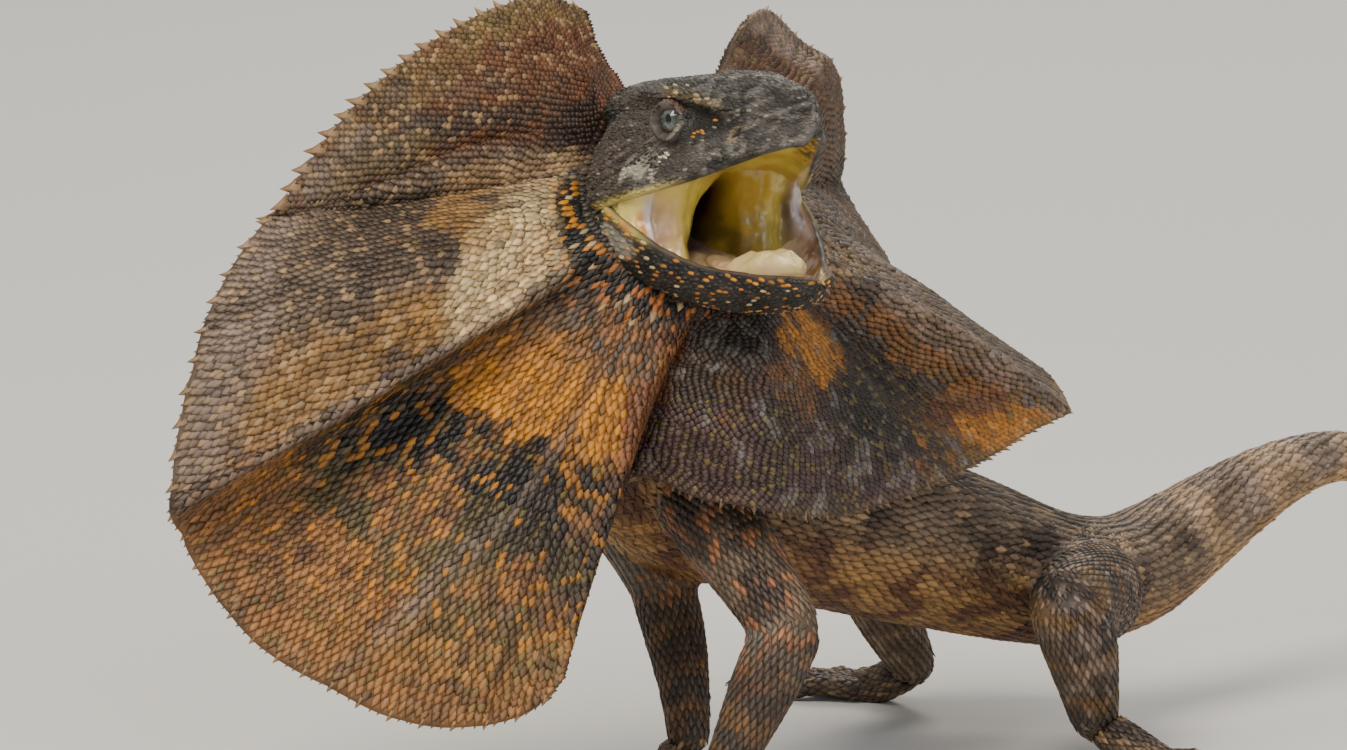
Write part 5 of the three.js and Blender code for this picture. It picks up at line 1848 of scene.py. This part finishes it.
@dataclass
class BodyCoats:
    """Lays scales along the trunk, tail, legs and toes, and between their rows."""

    skin: Skin
    reach: float = 3.2
    filler_density: float = 1.3
    filler_gap: float = 1.25
    filler_size: tuple[float, float, float] = (2.1, 1.5, 0.8)

    def along(self, track: Track, pitch: float, wide: float, index: int, charts: int) -> Coat:
        """Rows of keeled scales round one tube of flesh, pointing along it.

        Args:
            track: Centre line of the tube.
            pitch: Distance between rows in millimetres.
            wide: Width of a scale in millimetres.
            index: Number of this tube's tile in the unwrap.
            charts: Number of tiles.

        Returns:
            The coat before it is thinned.
        """
        runs = np.arange(0.5, track.run[-1], pitch)
        centre, ahead, side, up, radii = (
            np.stack([np.interp(runs, track.run, a[:, k]) for k in range(3)], axis=1)
            for a in (track.centre, track.ahead, track.side, track.up, track.radii)
        )
        rings = []
        for i, run in enumerate(runs):
            girth = 2 * math.pi * (radii[i, 0] + (radii[i, 1] + radii[i, 2]) / 2) / 2
            scale = min(wide, girth / 7)
            count = max(6, int(girth / scale))
            angle = (np.arange(count) + 0.5 * (i % 2)) * 2 * math.pi / count
            tall = np.where(np.sin(angle) > 0, radii[i, 1], radii[i, 2])
            ring = centre[i] + np.cos(angle)[:, None] * side[i] * radii[i, 0]
            ring = ring + (np.sin(angle) * tall)[:, None] * up[i]
            u = (index + 0.02 + 0.96 * run / track.run[-1]) / charts
            turn = (angle / (2 * math.pi)) % 1.0
            spots = np.stack([np.full(count, u), 0.01 + 0.98 * turn], axis=1)
            rings.append((ring, np.repeat(ahead[i][None], count, axis=0), np.full(count, scale), spots))
        p, way, width, chart = (np.concatenate(column) for column in zip(*rings))
        rng = np.random.default_rng(SEED + index)
        p = p + rng.normal(0, wide * 0.05, p.shape)
        spot, normal, gap = self.skin.nearest(p)
        shade = body_marks(spot, normal) * (0.8 + 0.4 * rng.random((len(p), 1)))
        long = pitch * (width / wide) ** 0.5 * (1.6 + 0.2 * rng.random(len(p)))
        sizes = np.stack([long, width * 1.04, width * 0.5], axis=1)
        coat = Coat(track.name, KEELED, spot, normal, way, sizes, shade, chart)
        facing = (normal * way).sum(axis=1)
        return coat.kept((gap < self.reach) & (np.abs(facing) < 0.93))

    @staticmethod
    def merged(name: str, coats: Sequence[Coat], apart: float) -> Coat:
        """Joins coats into one and drops scales that crowd an earlier one."""
        parts = {key: np.concatenate([getattr(coat, key) for coat in coats]) for key in PER_SCALE}
        coat = Coat(name, coats[0].shape, **parts)
        return coat.kept(thinned(coat.places, coat.sizes[:, 1] * apart))

    def filler(self, coats: Sequence[Coat], tracks: Sequence[Track]) -> Coat:
        """Small scales in the places on the body that the rows leave bare, such as knees.

        Args:
            coats: Coats already laid on the body.
            tracks: Centre lines of the body.

        Returns:
            The coat of the extra scales.
        """
        far = np.full(3, 900.0)
        spot, normal = self.skin.spread(-far, far, 0.0, self.filler_density, SEED + 21)
        (hx, hy, hz), (jx, jy, jz) = to_head(spot).T, to_head(spot, GAPE).T
        head = (hx > -13) & (np.abs(hy) < 25) & (hz > -2)
        jaw = (jx > -8) & (np.abs(jy) < 24) & (jz > -19) & (hz < 6)
        body = ~(head | jaw)
        spot, normal = spot[body], normal[body]
        laid = np.concatenate([coat.places for coat in coats])
        apart = np.concatenate([np.full(len(laid), 0.01), np.full(len(spot), self.filler_gap)])
        keep = thinned(np.concatenate([laid, spot]), apart)[len(laid):]
        spot, normal = spot[keep], normal[keep]
        lines = np.concatenate([track.centre[::4] for track in tracks])
        aheads = np.concatenate([track.ahead[::4] for track in tracks])
        near = np.array([((lines - place) ** 2).sum(axis=1).argmin() for place in spot], dtype=int)
        rng = np.random.default_rng(SEED + 22)
        way = aheads[near] + rng.normal(0, 0.1, spot.shape)
        shade = body_marks(spot, normal) * (0.8 + 0.4 * rng.random((len(spot), 1)))
        sizes = np.repeat(np.array([self.filler_size]), len(spot), axis=0)
        turn = np.arctan2(normal[:, 1], normal[:, 2]) / (2 * np.pi) + 0.5
        chart = np.stack([(spot[:, 0] + 600) / 700, 0.02 + 0.96 * turn], axis=1)
        return Coat("joint_scales", KEELED, spot, normal, way, sizes, shade, chart)

    def build(self) -> list[Coat]:
        """Lays every coat of the body, tubes first and the bare places between them last."""
        tracks = {track.name: track for track in BONES.tracks}
        limbs = [t for t in BONES.tracks if t.region in (Region.ARM, Region.LEG)]
        paws = [t for t in BONES.tracks if t.region is Region.PAW]
        trunk = [self.along(tracks["trunk"], 2.3, 2.2, 0, 1)]
        tail = [self.along(tracks["tail"], 2.6, 2.2, 0, 1)]
        limb_coats = [self.along(track, 1.7, 1.55, i, len(limbs)) for i, track in enumerate(limbs)]
        paw_coats = [self.along(track, 1.5, 1.4, i, len(paws)) for i, track in enumerate(paws)]
        coats = [
            self.merged("trunk_scales", trunk, 0.55),
            self.merged("tail_scales", tail, 0.5),
            self.merged("limb_scales", limb_coats, 0.5),
            self.merged("paw_scales", paw_coats, 0.6),
        ]
        return [*coats, self.filler(coats, BONES.tracks)]


def head_scale_colours(p: Array, dice: "np.random.Generator") -> Array:
    """Colours of the head's scales at places in the design frame, with flecks on single ones."""
    h = to_head(p)
    x, y, z = h.T
    pick = dice.random(len(h))
    right = y < 0
    flecks = bump(np.hypot(x - 23.0, (z - 9.2) * 1.6), 0, 2.1) * right
    below = bump(np.hypot(x - 14.5, z - 6.4), 0, 0.9) * right
    ridge = bump(z - at_station(SKULL, x)[:, 4], 0.5, 1.1) * ramp(14, 16, x) * (1 - ramp(19, 33, x))
    colour = layered(
        skull_marks(h),
        (Paint.AMBER, (pick < 0.4 * flecks) * 0.9),
        (Paint.BONE, (pick < below) * 0.9),
        (Paint.CREAM, (pick > 1 - 0.32 * ridge) * 0.45),
        (Paint.BONE, (pick > 0.975) * 0.25),
    )
    return colour * (0.8 + 0.4 * dice.random((len(h), 1)))


def jaw_scale_colours(p: Array, dice: "np.random.Generator") -> Array:
    """Colours of the jaw's scales at places in the design frame, many of them orange or cream."""
    j = to_head(p, GAPE)
    x, y, z = j.T
    pick = dice.random(len(j))
    shed = 1 - ramp(0.8, 1.2, np.hypot((x - 5.5) / 6.5, (z + 5.6) / 2.6))
    row = 0.13 + 0.16 * ramp(3.4, 1.2, at_station(MANDIBLE, x)[:, 2] - z)
    row = row * (1 - shed * (y < 0)) * ramp(-5, 2, x)
    colour = layered(
        jaw_marks(j),
        (mix(Paint.ORANGE, Paint.AMBER, pick * 5), (pick < row) * 0.9),
        (Paint.CREAM, (pick > 0.965) * 0.6),
        (Paint.OCHRE, ((pick > 0.87) & (pick < 0.94)) * 0.6),
    )
    return colour * (0.8 + 0.4 * dice.random((len(j), 1)))


@dataclass
class HeadCoats:
    """Spreads small rounded scales over the outside of the head and the lower jaw."""

    skin: Skin
    closeness: float = 0.82
    head_box: tuple[tuple[float, float, float], ...] = ((-13.0, -24.0, -0.5), (51.0, 24.0, 28.0))
    head_density: float = 9.0
    jaw_box: tuple[tuple[float, float, float], ...] = ((-8.0, -24.0, -19.0), (50.0, 24.0, 1.0))
    jaw_density: float = 7.0

    def scattered(
        self, name: str, places: Array, normals: Array, way: Array, size: Array,
        marks: Callable[[Array, "np.random.Generator"], Array], chart: Array,
    ) -> Coat:
        """Small rounded scales spread evenly over a patch of skin.

        Args:
            name: Name of the coat.
            places: Many candidate places in the design frame.
            normals: Outward directions there.
            way: Direction that the scales point in.
            size: Width of the scale at each place.
            marks: Function that gives the colours of the kept places.
            chart: Place of each candidate on the unwrap.

        Returns:
            The coat.
        """
        rng = np.random.default_rng(SEED + len(name))
        order = rng.permutation(len(places))
        keep = order[thinned(places[order], size[order] * self.closeness)]
        count = len(keep)
        width = size[keep] * (0.85 + 0.25 * rng.random(count))
        sizes = np.stack([width * 1.8, width * 0.95, width * 0.8], axis=1)
        shade = marks(places[keep], rng)
        return Coat(name, GRANULE, places[keep], normals[keep], way[keep], sizes, shade, chart[keep])

    @staticmethod
    def chart(x: Array, box: Array, turn: Array) -> Array:
        """Places on the unwrap from the distance along a box and the turn round it."""
        start, end = box[:, 0]
        return np.stack([0.02 + 0.96 * (x - start) / (end - start), 0.5 + 0.48 * turn], axis=1)

    def head(self) -> Coat:
        """Small scales over the outside of the upper head, larger along the brow and lips."""
        box = np.array(self.head_box)
        spot, normal = self.skin.spread(*box, 0.0, self.head_density, SEED + 9)
        h = to_head(spot)
        x, y, z = h.T
        w = np.abs(y)
        _, lip, lip_z, _, brow_z, _ = at_station(SKULL, x).T
        fits = (z > lip_z + 0.5) & (w > lip - 2.2) | (z > lip_z + 5.4)
        fits &= (x > -12.5) & (z > lip_z + 0.4)
        for side in (-1, 1):
            local, _, _, e = about_eye(h, side)
            fits &= ~((e < 1.16) & (local[:, 0] > 0) & (np.linalg.norm(local, axis=1) < 9))
        fits &= ~((np.hypot(x - 31.8, z - 6.4) < 1.5) & (w > 3))
        near_eye = bump(np.hypot(x - EYE_X, z - EYE_Z), 0, 7)
        size = 1.0 - 0.4 * near_eye + 0.35 * bump(z - brow_z, 0.6, 1.2) * ramp(8, 14, x)
        size = size + 0.25 * bump(z - lip_z, 1.4, 0.9) * ramp(4, 10, x)
        size = size * (1 - 0.2 * ramp(36, 48, x))
        way = np.repeat(np.array([[-0.8, 0.0, 0.15]]) @ head_axes(), len(h), axis=0)
        chart = self.chart(x, box, np.arctan2(y, z - lip_z) / np.pi)
        return self.scattered(
            "head_scales", spot[fits], normal[fits], way[fits], size[fits], head_scale_colours, chart[fits]
        )

    def jaw(self) -> Coat:
        """Raised scales on the outside of the lower jaw."""
        box = np.array(self.jaw_box)
        spot, normal = self.skin.spread(*box, GAPE, self.jaw_density, SEED + 11)
        j = to_head(spot, GAPE)
        x, y, z = j.T
        _, wide, lip_z, floor, deep = at_station(MANDIBLE, x).T
        fits = z < lip_z - 0.7
        fits &= ~((np.abs(y) < wide - 1.3) & (z > lip_z - floor * 1.05))
        fits &= (x > -6.5) & (z > lip_z - deep - 2)
        size = 1.1 + 0.2 * ramp(3.5, 0.5, lip_z - z) - 0.2 * ramp(34, 48, x)
        size = size + 0.4 * bump(x, 5, 8) * bump(z, -6, 4)
        way = np.repeat(np.array([[-1.0, 0.0, -0.1]]) @ head_axes(GAPE), len(j), axis=0)
        chart = self.chart(x, box, np.arctan2(y, lip_z + 1 - z) / np.pi)
        return self.scattered(
            "jaw_scales", spot[fits], normal[fits], way[fits], size[fits], jaw_scale_colours, chart[fits]
        )


def lay_scales(skin: bpy.types.Object, frill: Frill) -> list[tuple[bpy.types.Object, str]]:
    """Builds every coat of scales, each paired with the name of the record's slot for it."""
    ground = Skin(skin)
    on_body = BodyCoats(ground).build()
    on_frill, on_head = FrillCoats(frill), HeadCoats(ground)
    coats = [
        *((coat, "frill_skin") for coat in (on_frill.side(False), on_frill.side(True), on_frill.rim())),
        *((coat, "body_skin") for coat in on_body),
        *((coat, "head_skin") for coat in (on_head.head(), on_head.jaw())),
    ]
    return [(coat.build(), slot) for coat, slot in coats]


@dataclass
class Eyes:
    """Eyeballs with a grey-blue iris, an upright oval pupil and a slightly bulging cornea."""

    iris: float = 26.0
    pupil_wide: float = 8.5
    pupil_high: float = 13.5
    bulge: float = 0.3
    front_rings: int = 60
    rear_rings: int = 30
    around: int = 96
    sunk: float = 0.3

    def ball(self, name: str, side: int) -> bpy.types.Object:
        """Builds one eyeball, its rings centred on the line of gaze."""
        centre, axes = eye_frame(side)
        polar = np.linspace(0.4, 45, self.front_rings), np.linspace(47, 179.5, self.rear_rings)
        turn = full_turn(self.around)
        polar_grid, turn_grid = np.meshgrid(np.radians(np.concatenate(polar)), turn, indexing="ij")
        degrees = np.degrees(polar_grid)
        reach = EYE_BALL - self.sunk + self.bulge * bump(degrees, 8, 20)
        ahead, up = np.cos(turn_grid) * np.sin(polar_grid), np.sin(turn_grid) * np.sin(polar_grid)
        local = np.stack([np.cos(polar_grid), ahead, up], axis=2) * reach[..., None]
        places = SHIFT.model(from_head(centre + local @ axes))
        made = closed_loft(name, places)
        made_places = to_head(SHIFT.design(vertices(made)))
        local = (made_places - centre) @ axes.T
        turn = math.radians(GAZE_FORWARD)
        gaze = local[:, 0] * math.cos(turn) + local[:, 1] * math.sin(turn)
        ahead = local[:, 1] * math.cos(turn) - local[:, 0] * math.sin(turn)
        paint(made, self.marks(np.stack([gaze, ahead, local[:, 2]], axis=1)))
        shade_smooth(made)
        return made

    def marks(self, local: Array) -> Array:
        """Colours of an eyeball from places about its centre (gaze, forward, up)."""
        way = unit(local)
        away = np.degrees(np.arccos(np.clip(way[:, 0], -1, 1)))
        turn = np.arctan2(way[:, 2], way[:, 1])
        sides, tall = away * np.cos(turn), away * np.sin(turn)
        pupil = np.hypot(sides / self.pupil_wide, tall / self.pupil_high)
        fibre = noise(np.stack([np.cos(turn) * 9, np.sin(turn) * 9, away * 0.06], axis=1), 1.0, 81, 2)
        blue = mix(Paint.IRIS, Paint.IRIS_DARK, ramp(-0.4, 0.5, fibre))
        colour = layered(
            Paint.IRIS_INNER,
            (blue, ramp(1.0, 1.2, pupil)),
            (Paint.IRIS_EDGE, ramp(self.iris - 4, self.iris, away)),
            (Paint.EYE_SOCKET, ramp(self.iris + 1, self.iris + 6, away)),
        )
        return mix(Paint.PUPIL, colour, ramp(0.92, 1.04, pupil))

    def build(self) -> list[tuple[bpy.types.Object, str]]:
        """Builds both eyeballs with the nodes that they stand for."""
        return [(self.ball("eyeball_right", -1), "eye_right"), (self.ball("eyeball_left", 1), "eye_left")]


@dataclass
class Tongue:
    """The thick pale tongue lying on the mouth's floor."""

    rows: tuple[tuple[float, float, float, float], ...] = (
        (8, 2.5, -9.5, 0.8), (15, 4.4, -8.4, 1.7), (21, 5.1, -6.8, 2.8), (27, 5.1, -5.1, 3.5),
        (32, 4.6, -3.6, 3.8), (35.5, 3.9, -2.4, 3.2), (37.4, 2.5, -1.8, 1.9), (38.6, 0.9, -1.5, 0.8),
    )
    stations: int = 90
    around: int = 84

    def build(self) -> bpy.types.Object:
        """Builds the tongue with its groove and fine papillae."""
        u = np.linspace(0, len(self.rows) - 1, self.stations)
        x, wide, middle, half = smooth_rows(np.array(self.rows), u).T
        turn = full_turn(self.around)
        y = np.cos(turn)[None] * wide[:, None]
        flat = np.sign(np.sin(turn)) * np.abs(np.sin(turn)) ** 0.8
        z = middle[:, None] + flat[None] * half[:, None]
        p = np.stack([np.repeat(x[:, None], self.around, axis=1), y, z], axis=2).reshape(-1, 3)
        top = ramp(-0.2, 0.6, np.tile(flat, self.stations))
        p[:, 2] -= bump(p[:, 1], 0.4, 1.1) * 0.5 * top
        p[:, 2] += noise(p, 4.5, 91, 2) * 1.1 * top + noise(p, 1.0, 92, 2) * 0.16 * top
        rings = SHIFT.model(from_head(p, GAPE)).reshape(self.stations, self.around, 3)
        made = closed_loft("tongue_flesh", rings)
        j = to_head(SHIFT.design(vertices(made)), GAPE)
        small = noise(j, 4, 93, 3)
        colour = mix(Paint.TONGUE, Paint.LEMON, ramp(-0.1, 0.7, small) * 0.45)
        colour = mix(colour, Paint.FLESH, ramp(-4.0, -7.0, j[:, 2]) * 0.6)
        paint(made, colour)
        shade_smooth(made)
        return made


@dataclass
class Claws:
    """Curved pointed claws, one a toe."""

    length: float = 4.0
    stations: int = 18
    around: int = 16

    def claw(self, digit: Digit) -> Array:
        """Rings of one claw in the design frame, from inside the toe to its point."""
        turn = math.radians(digit.heading)
        side = np.array([-math.sin(turn), math.cos(turn), 0.0])
        s = np.linspace(0, 1, self.stations)
        knots = [0, 0.3, 0.6, 1]
        along = -1.2 + s * (self.length + 1.2)
        height = np.interp(s, knots, [1.7, 2.15, 1.95, 0.55])
        height = evened(height, 2)
        thick = 1.12 * np.maximum(1 - s**1.6, 0.06)
        rings = []
        for a, h, r in zip(along, height, thick):
            centre = heading_step(digit.tip, digit.heading, a, h)
            angle = full_turn(self.around)
            ring = centre + np.cos(angle)[:, None] * side * r * 0.72
            ring[:, 2] += np.sin(angle) * r
            rings.append(ring)
        return np.array(rings)

    def build(self) -> list[bpy.types.Object]:
        """Builds the claws of each paw as one piece a paw."""
        pieces = []
        for paw in PAW_NODES:
            made = []
            for i, digit in enumerate(digits_of(paw)):
                rings = self.claw(digit)
                rings[:, :, 2] = np.maximum(rings[:, :, 2], 0.02)
                made.append(closed_loft(f"claw_{paw}_{i}", SHIFT.model(rings)))
            claws = joined(made, f"claws_{paw}")
            claws.data.name = claws.name
            grain = noise(SHIFT.design(vertices(claws)), 1.2, 95, 2)
            paint(claws, mix(Paint.HORN, Paint.HORN_PALE, ramp(-0.3, 0.8, grain)))
            shade_smooth(claws)
            pieces.append(claws)
        return pieces


def add_node(
    tree: bpy.types.NodeTree, kind: str, links: dict | None = None, **settings: object
) -> bpy.types.Node:
    """Adds a shader node.

    Args:
        tree: Node tree to add to.
        kind: Node type.
        links: Input name or number to the output socket, or to the plain value, that it takes.
        **settings: Properties of the node.

    Returns:
        The node.
    """
    node = tree.nodes.new(kind)
    for key, value in settings.items():
        setattr(node, key, value)
    for key, value in (links or {}).items():
        if isinstance(value, bpy.types.NodeSocket):
            tree.links.new(value, node.inputs[key])
        else:
            node.inputs[key].default_value = value
    return node


@dataclass(frozen=True)
class Hide:
    """Finish of living skin: painted by the Mark attribute, grained and slightly uneven."""

    name: str
    rough: float
    grain_mm: float
    bump_mm: float
    mottle: float
    coat: float = 0.0
    under_skin: float = 0.0
    blotch: float = 7.0

    def material(self) -> bpy.types.Material:
        """Makes the material."""
        made = bpy.data.materials.new(self.name)
        made.use_nodes = True
        tree = made.node_tree
        tree.nodes.clear()
        mark = add_node(tree, "ShaderNodeAttribute", attribute_name="Mark")
        place = add_node(tree, "ShaderNodeTexCoord")

        def grain(size_mm: float, detail: float) -> bpy.types.NodeSocket:
            links = {"Vector": place.outputs["Object"], "Scale": 1 / (size_mm * MM), "Detail": detail}
            return add_node(tree, "ShaderNodeTexNoise", links).outputs["Fac"]

        def between(value: bpy.types.NodeSocket, low: float, high: float) -> bpy.types.NodeSocket:
            links = {"Value": value, "From Min": 0.3, "From Max": 0.7, "To Min": low, "To Max": high}
            return add_node(tree, "ShaderNodeMapRange", links).outputs["Result"]

        fine = grain(self.grain_mm, 3.0)
        level = between(grain(self.grain_mm * self.blotch, 2.0), 1 - self.mottle, 1 + self.mottle)
        shade = add_node(
            tree, "ShaderNodeVectorMath", {0: mark.outputs["Color"], "Scale": level}, operation="SCALE"
        )
        rough = between(fine, self.rough - 0.07, self.rough + 0.09)
        relief = add_node(
            tree, "ShaderNodeBump", {"Height": fine, "Distance": self.bump_mm * MM, "Strength": 0.8}
        )
        surface = add_node(
            tree, "ShaderNodeBsdfPrincipled",
            {"Base Color": shade.outputs["Vector"], "Roughness": rough,
             "Normal": relief.outputs["Normal"], "IOR": 1.45, "Coat Weight": self.coat,
             "Coat Roughness": 0.12, "Subsurface Weight": self.under_skin,
             "Subsurface Radius": (1.0, 0.45, 0.25), "Subsurface Scale": 0.0015},
        )
        output = add_node(tree, "ShaderNodeOutputMaterial")
        tree.links.new(surface.outputs["BSDF"], output.inputs["Surface"])
        return made


@dataclass(frozen=True)
class Studio:
    """Plain pale floor, soft lights and the camera at the photograph's angle.

    The camera looks along look with right to its right, from a distance in millimetres. Its zoom is
    the width in pixels of a thing as far away as it is wide, and mark is where the hinge shows.
    """

    distance: float = 1300.0
    zoom: float = 6760.0
    look: tuple[float, float, float] = (-0.6609, -0.7340, -0.1564)
    right: tuple[float, float, float] = (-0.7431, 0.6691, 0.0)
    mark: tuple[float, float] = (702.0, 200.0)
    floor_size: float = 16.0
    floor_drop: float = 0.0002

    def floor(self) -> None:
        """Lays a wide pale floor under the animal."""
        bpy.ops.object.select_all(action="DESELECT")
        bpy.ops.mesh.primitive_plane_add(size=self.floor_size, location=(0, 0, -self.floor_drop))
        ground = bpy.context.view_layer.objects.active
        ground.name = "studio_floor"
        paper = bpy.data.materials.new("matt_pale_card")
        paper.use_nodes = True
        shader = paper.node_tree.nodes["Principled BSDF"]
        shader.inputs["Base Color"].default_value = (*linear(Paint.CARD), 1.0)
        shader.inputs["Roughness"].default_value = 0.9
        ground.data.materials.append(paper)

    def lamp(self, name: str, place: Sequence[float], size: float, power: float, tint: Paint) -> None:
        """Hangs one soft square lamp that faces the animal's head.

        Args:
            name: Name of the lamp.
            place: Where it hangs, in metres.
            size: Width in metres.
            power: Power in watts.
            tint: Colour of its light.
        """
        data = bpy.data.lights.new(name, "AREA")
        data.size = size
        data.energy = power
        data.color = tuple(linear(tint))
        made = bpy.data.objects.new(name, data)
        made.location = place
        aim = Vector(SHIFT.model(HINGE)) - Vector(place)
        made.rotation_euler = aim.to_track_quat("-Z", "Y").to_euler()
        bpy.context.scene.collection.objects.link(made)

    def camera(self) -> None:
        """Sets the camera where it frames the animal as the photograph does."""
        look, right = np.array(self.look), np.array(self.right)
        up = np.cross(right, look)
        x = (self.mark[0] - IMAGE_WIDTH / 2) / self.zoom
        y = (self.mark[1] - IMAGE_HEIGHT / 2) / self.zoom
        place = HINGE - (look + right * x - up * y) * self.distance
        data = bpy.data.cameras.new("studio_camera")
        data.sensor_width = SENSOR_MM
        data.lens = self.zoom * SENSOR_MM / IMAGE_WIDTH
        data.clip_end = 50.0
        made = bpy.data.objects.new("studio_camera", data)
        turn = Matrix([right, up, -look]).transposed().to_4x4()
        turn.translation = Vector(SHIFT.model(place))
        made.matrix_world = turn
        bpy.context.scene.collection.objects.link(made)
        bpy.context.scene.camera = made

    def build(self) -> None:
        """Sets up floor, lights, daylight and camera."""
        self.floor()
        self.lamp("soft_key", (1.5, 0.5, 2.0), 1.3, 62, Paint.WARM_LIGHT)
        self.lamp("soft_fill", (0.6, 1.9, 0.9), 1.6, 22, Paint.COOL_LIGHT)
        self.lamp("soft_back", (-1.3, -1.2, 1.7), 1.2, 26, Paint.BACK_LIGHT)
        world = bpy.data.worlds.new("studio_air")
        world.use_nodes = True
        sky = world.node_tree.nodes["Background"]
        sky.inputs["Color"].default_value = (*linear(Paint.DAYLIGHT), 1.0)
        sky.inputs["Strength"].default_value = 0.42
        bpy.context.scene.world = world
        self.camera()


# Dry scaly hide: horny and nearly matt, with a broken low gloss
SCALES_FINISH = Hide("dry_horny_scales", 0.5, 0.45, 0.06, 0.14)
# Bare skin between scales: matt and finely wrinkled
SKIN_FINISH = Hide("dry_reptile_hide", 0.62, 0.6, 0.1, 0.12, 0.0, 0.06)
# Lining of the mouth: wet and smooth with a sharp shine
MOUTH_FINISH = Hide("wet_mouth_lining", 0.36, 0.8, 0.04, 0.06, 0.5, 0.2)
# Tongue: soft, wet and finely rough
TONGUE_FINISH = Hide("wet_tongue_flesh", 0.42, 0.4, 0.05, 0.05, 0.35, 0.25)
# Eye: wet and glassy
EYE_FINISH = Hide("wet_eye", 0.12, 2.0, 0.0, 0.03, 1.0)
# Claws: smooth dark horn
CLAW_FINISH = Hide("dark_claw_horn", 0.34, 0.5, 0.02, 0.2, 0.2)


def skin_piece(nodes: dict) -> bpy.types.Object:
    """Makes the one skin of head, mouth, trunk, tail, legs and paws, and paints it."""
    head_pieces = Head().build()
    for piece, marks, gape in zip(head_pieces, (skull_marks, jaw_marks, lining_marks), (0.0, GAPE, 0.0)):
        paint(piece, marks(to_head(SHIFT.design(vertices(piece)), gape)))
    body_pieces = Body().build(nodes)
    for piece in body_pieces:
        paint(piece, body_marks(SHIFT.design(vertices(piece)), normals(piece)) * 0.6)
    skull, jaw, lining = head_pieces
    trunk, *paws = body_pieces
    skin = united("lizard_skin", [skull, jaw, lining, trunk, *paws])
    mend_marks(skin)
    shade_smooth(skin)
    dress_skin(skin)
    LOG.info("skin: %d vertices, %d faces", len(skin.data.vertices), len(skin.data.polygons))
    return skin


def dress_skin(skin: bpy.types.Object) -> None:
    """Gives the skin dry hide outside and a wet finish on the faces inside the mouth."""
    skin.data.materials.clear()
    skin.data.materials.append(SKIN_FINISH.material())
    skin.data.materials.append(MOUTH_FINISH.material())
    count = len(skin.data.polygons)
    centres = np.empty(count * 3, dtype=np.float32)
    ways = np.empty(count * 3, dtype=np.float32)
    skin.data.polygons.foreach_get("center", centres)
    skin.data.polygons.foreach_get("normal", ways)
    p = SHIFT.design(centres.reshape(-1, 3).astype(float))
    (hx, hy, hz), (jx, jy, jz) = to_head(p).T, to_head(p, GAPE).T
    _, lip, lip_z, _, _, _ = at_station(SKULL, hx).T
    _, wide, jaw_z, floor, _ = at_station(MANDIBLE, jx).T
    way = ways.reshape(-1, 3).astype(float)
    faces_down = (way @ head_axes().T)[:, 2] < 0.3
    faces_up = (way @ head_axes(GAPE).T)[:, 2] > -0.2
    roof = (np.abs(hy) < lip - 1.0) & (hz < lip_z + 5) & (hz > -2) & faces_down
    bed = (np.abs(jy) < wide - 1.0) & (jz > jaw_z - floor * 1.06) & (jz < 2) & faces_up
    cheek = (hz < 2) & (hx > 0) & (hx < 18) & (jz > -8) & (np.abs(hy) < wide - 1.2)
    inside = (roof | bed | cheek) & (hx > -3)
    skin.data.polygons.foreach_set("material_index", inside.astype(np.int32))
    skin.data.update()


def dress(piece: bpy.types.Object, finish: Hide) -> None:
    """Gives a piece its finish, and lets it ride on the one body."""
    if not piece.data.materials:
        known = bpy.data.materials.get(finish.name)
        piece.data.materials.append(known or finish.material())
    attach(piece, "root")


def main(nodes: dict) -> None:
    """Builds the animal's skin, frill, scales, eyes, tongue and claws, and the studio.

    Args:
        nodes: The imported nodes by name.
    """
    logging.basicConfig(level=logging.INFO, format="%(name)s: %(message)s")
    SHIFT.measure()
    skin = skin_piece(nodes)
    dress(skin, SKIN_FINISH)
    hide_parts(*HEAD_NODES, *TRUNK_NODES, *PAW_NODES)
    frill = Frill()
    sheet = frill.build()
    shade_smooth(sheet)
    dress(sheet, SKIN_FINISH)
    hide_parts(*FRILL_NODES)
    for piece, slot in lay_scales(skin, frill):
        dress(piece, SCALES_FINISH)
    for piece, node in Eyes().build():
        dress(piece, EYE_FINISH)
        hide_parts(node)
    tongue = Tongue().build()
    dress(tongue, TONGUE_FINISH)
    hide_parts("tongue")
    for piece in Claws().build():
        dress(piece, CLAW_FINISH)
    Studio().build()
    for piece in bpy.context.scene.objects:
        if piece.type == "MESH" and not piece.hide_render:
            LOG.info("%s: %d faces", piece.name, len(piece.data.polygons))


if __name__ == "__main__":
    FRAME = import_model()
    main(FRAME["nodes"])
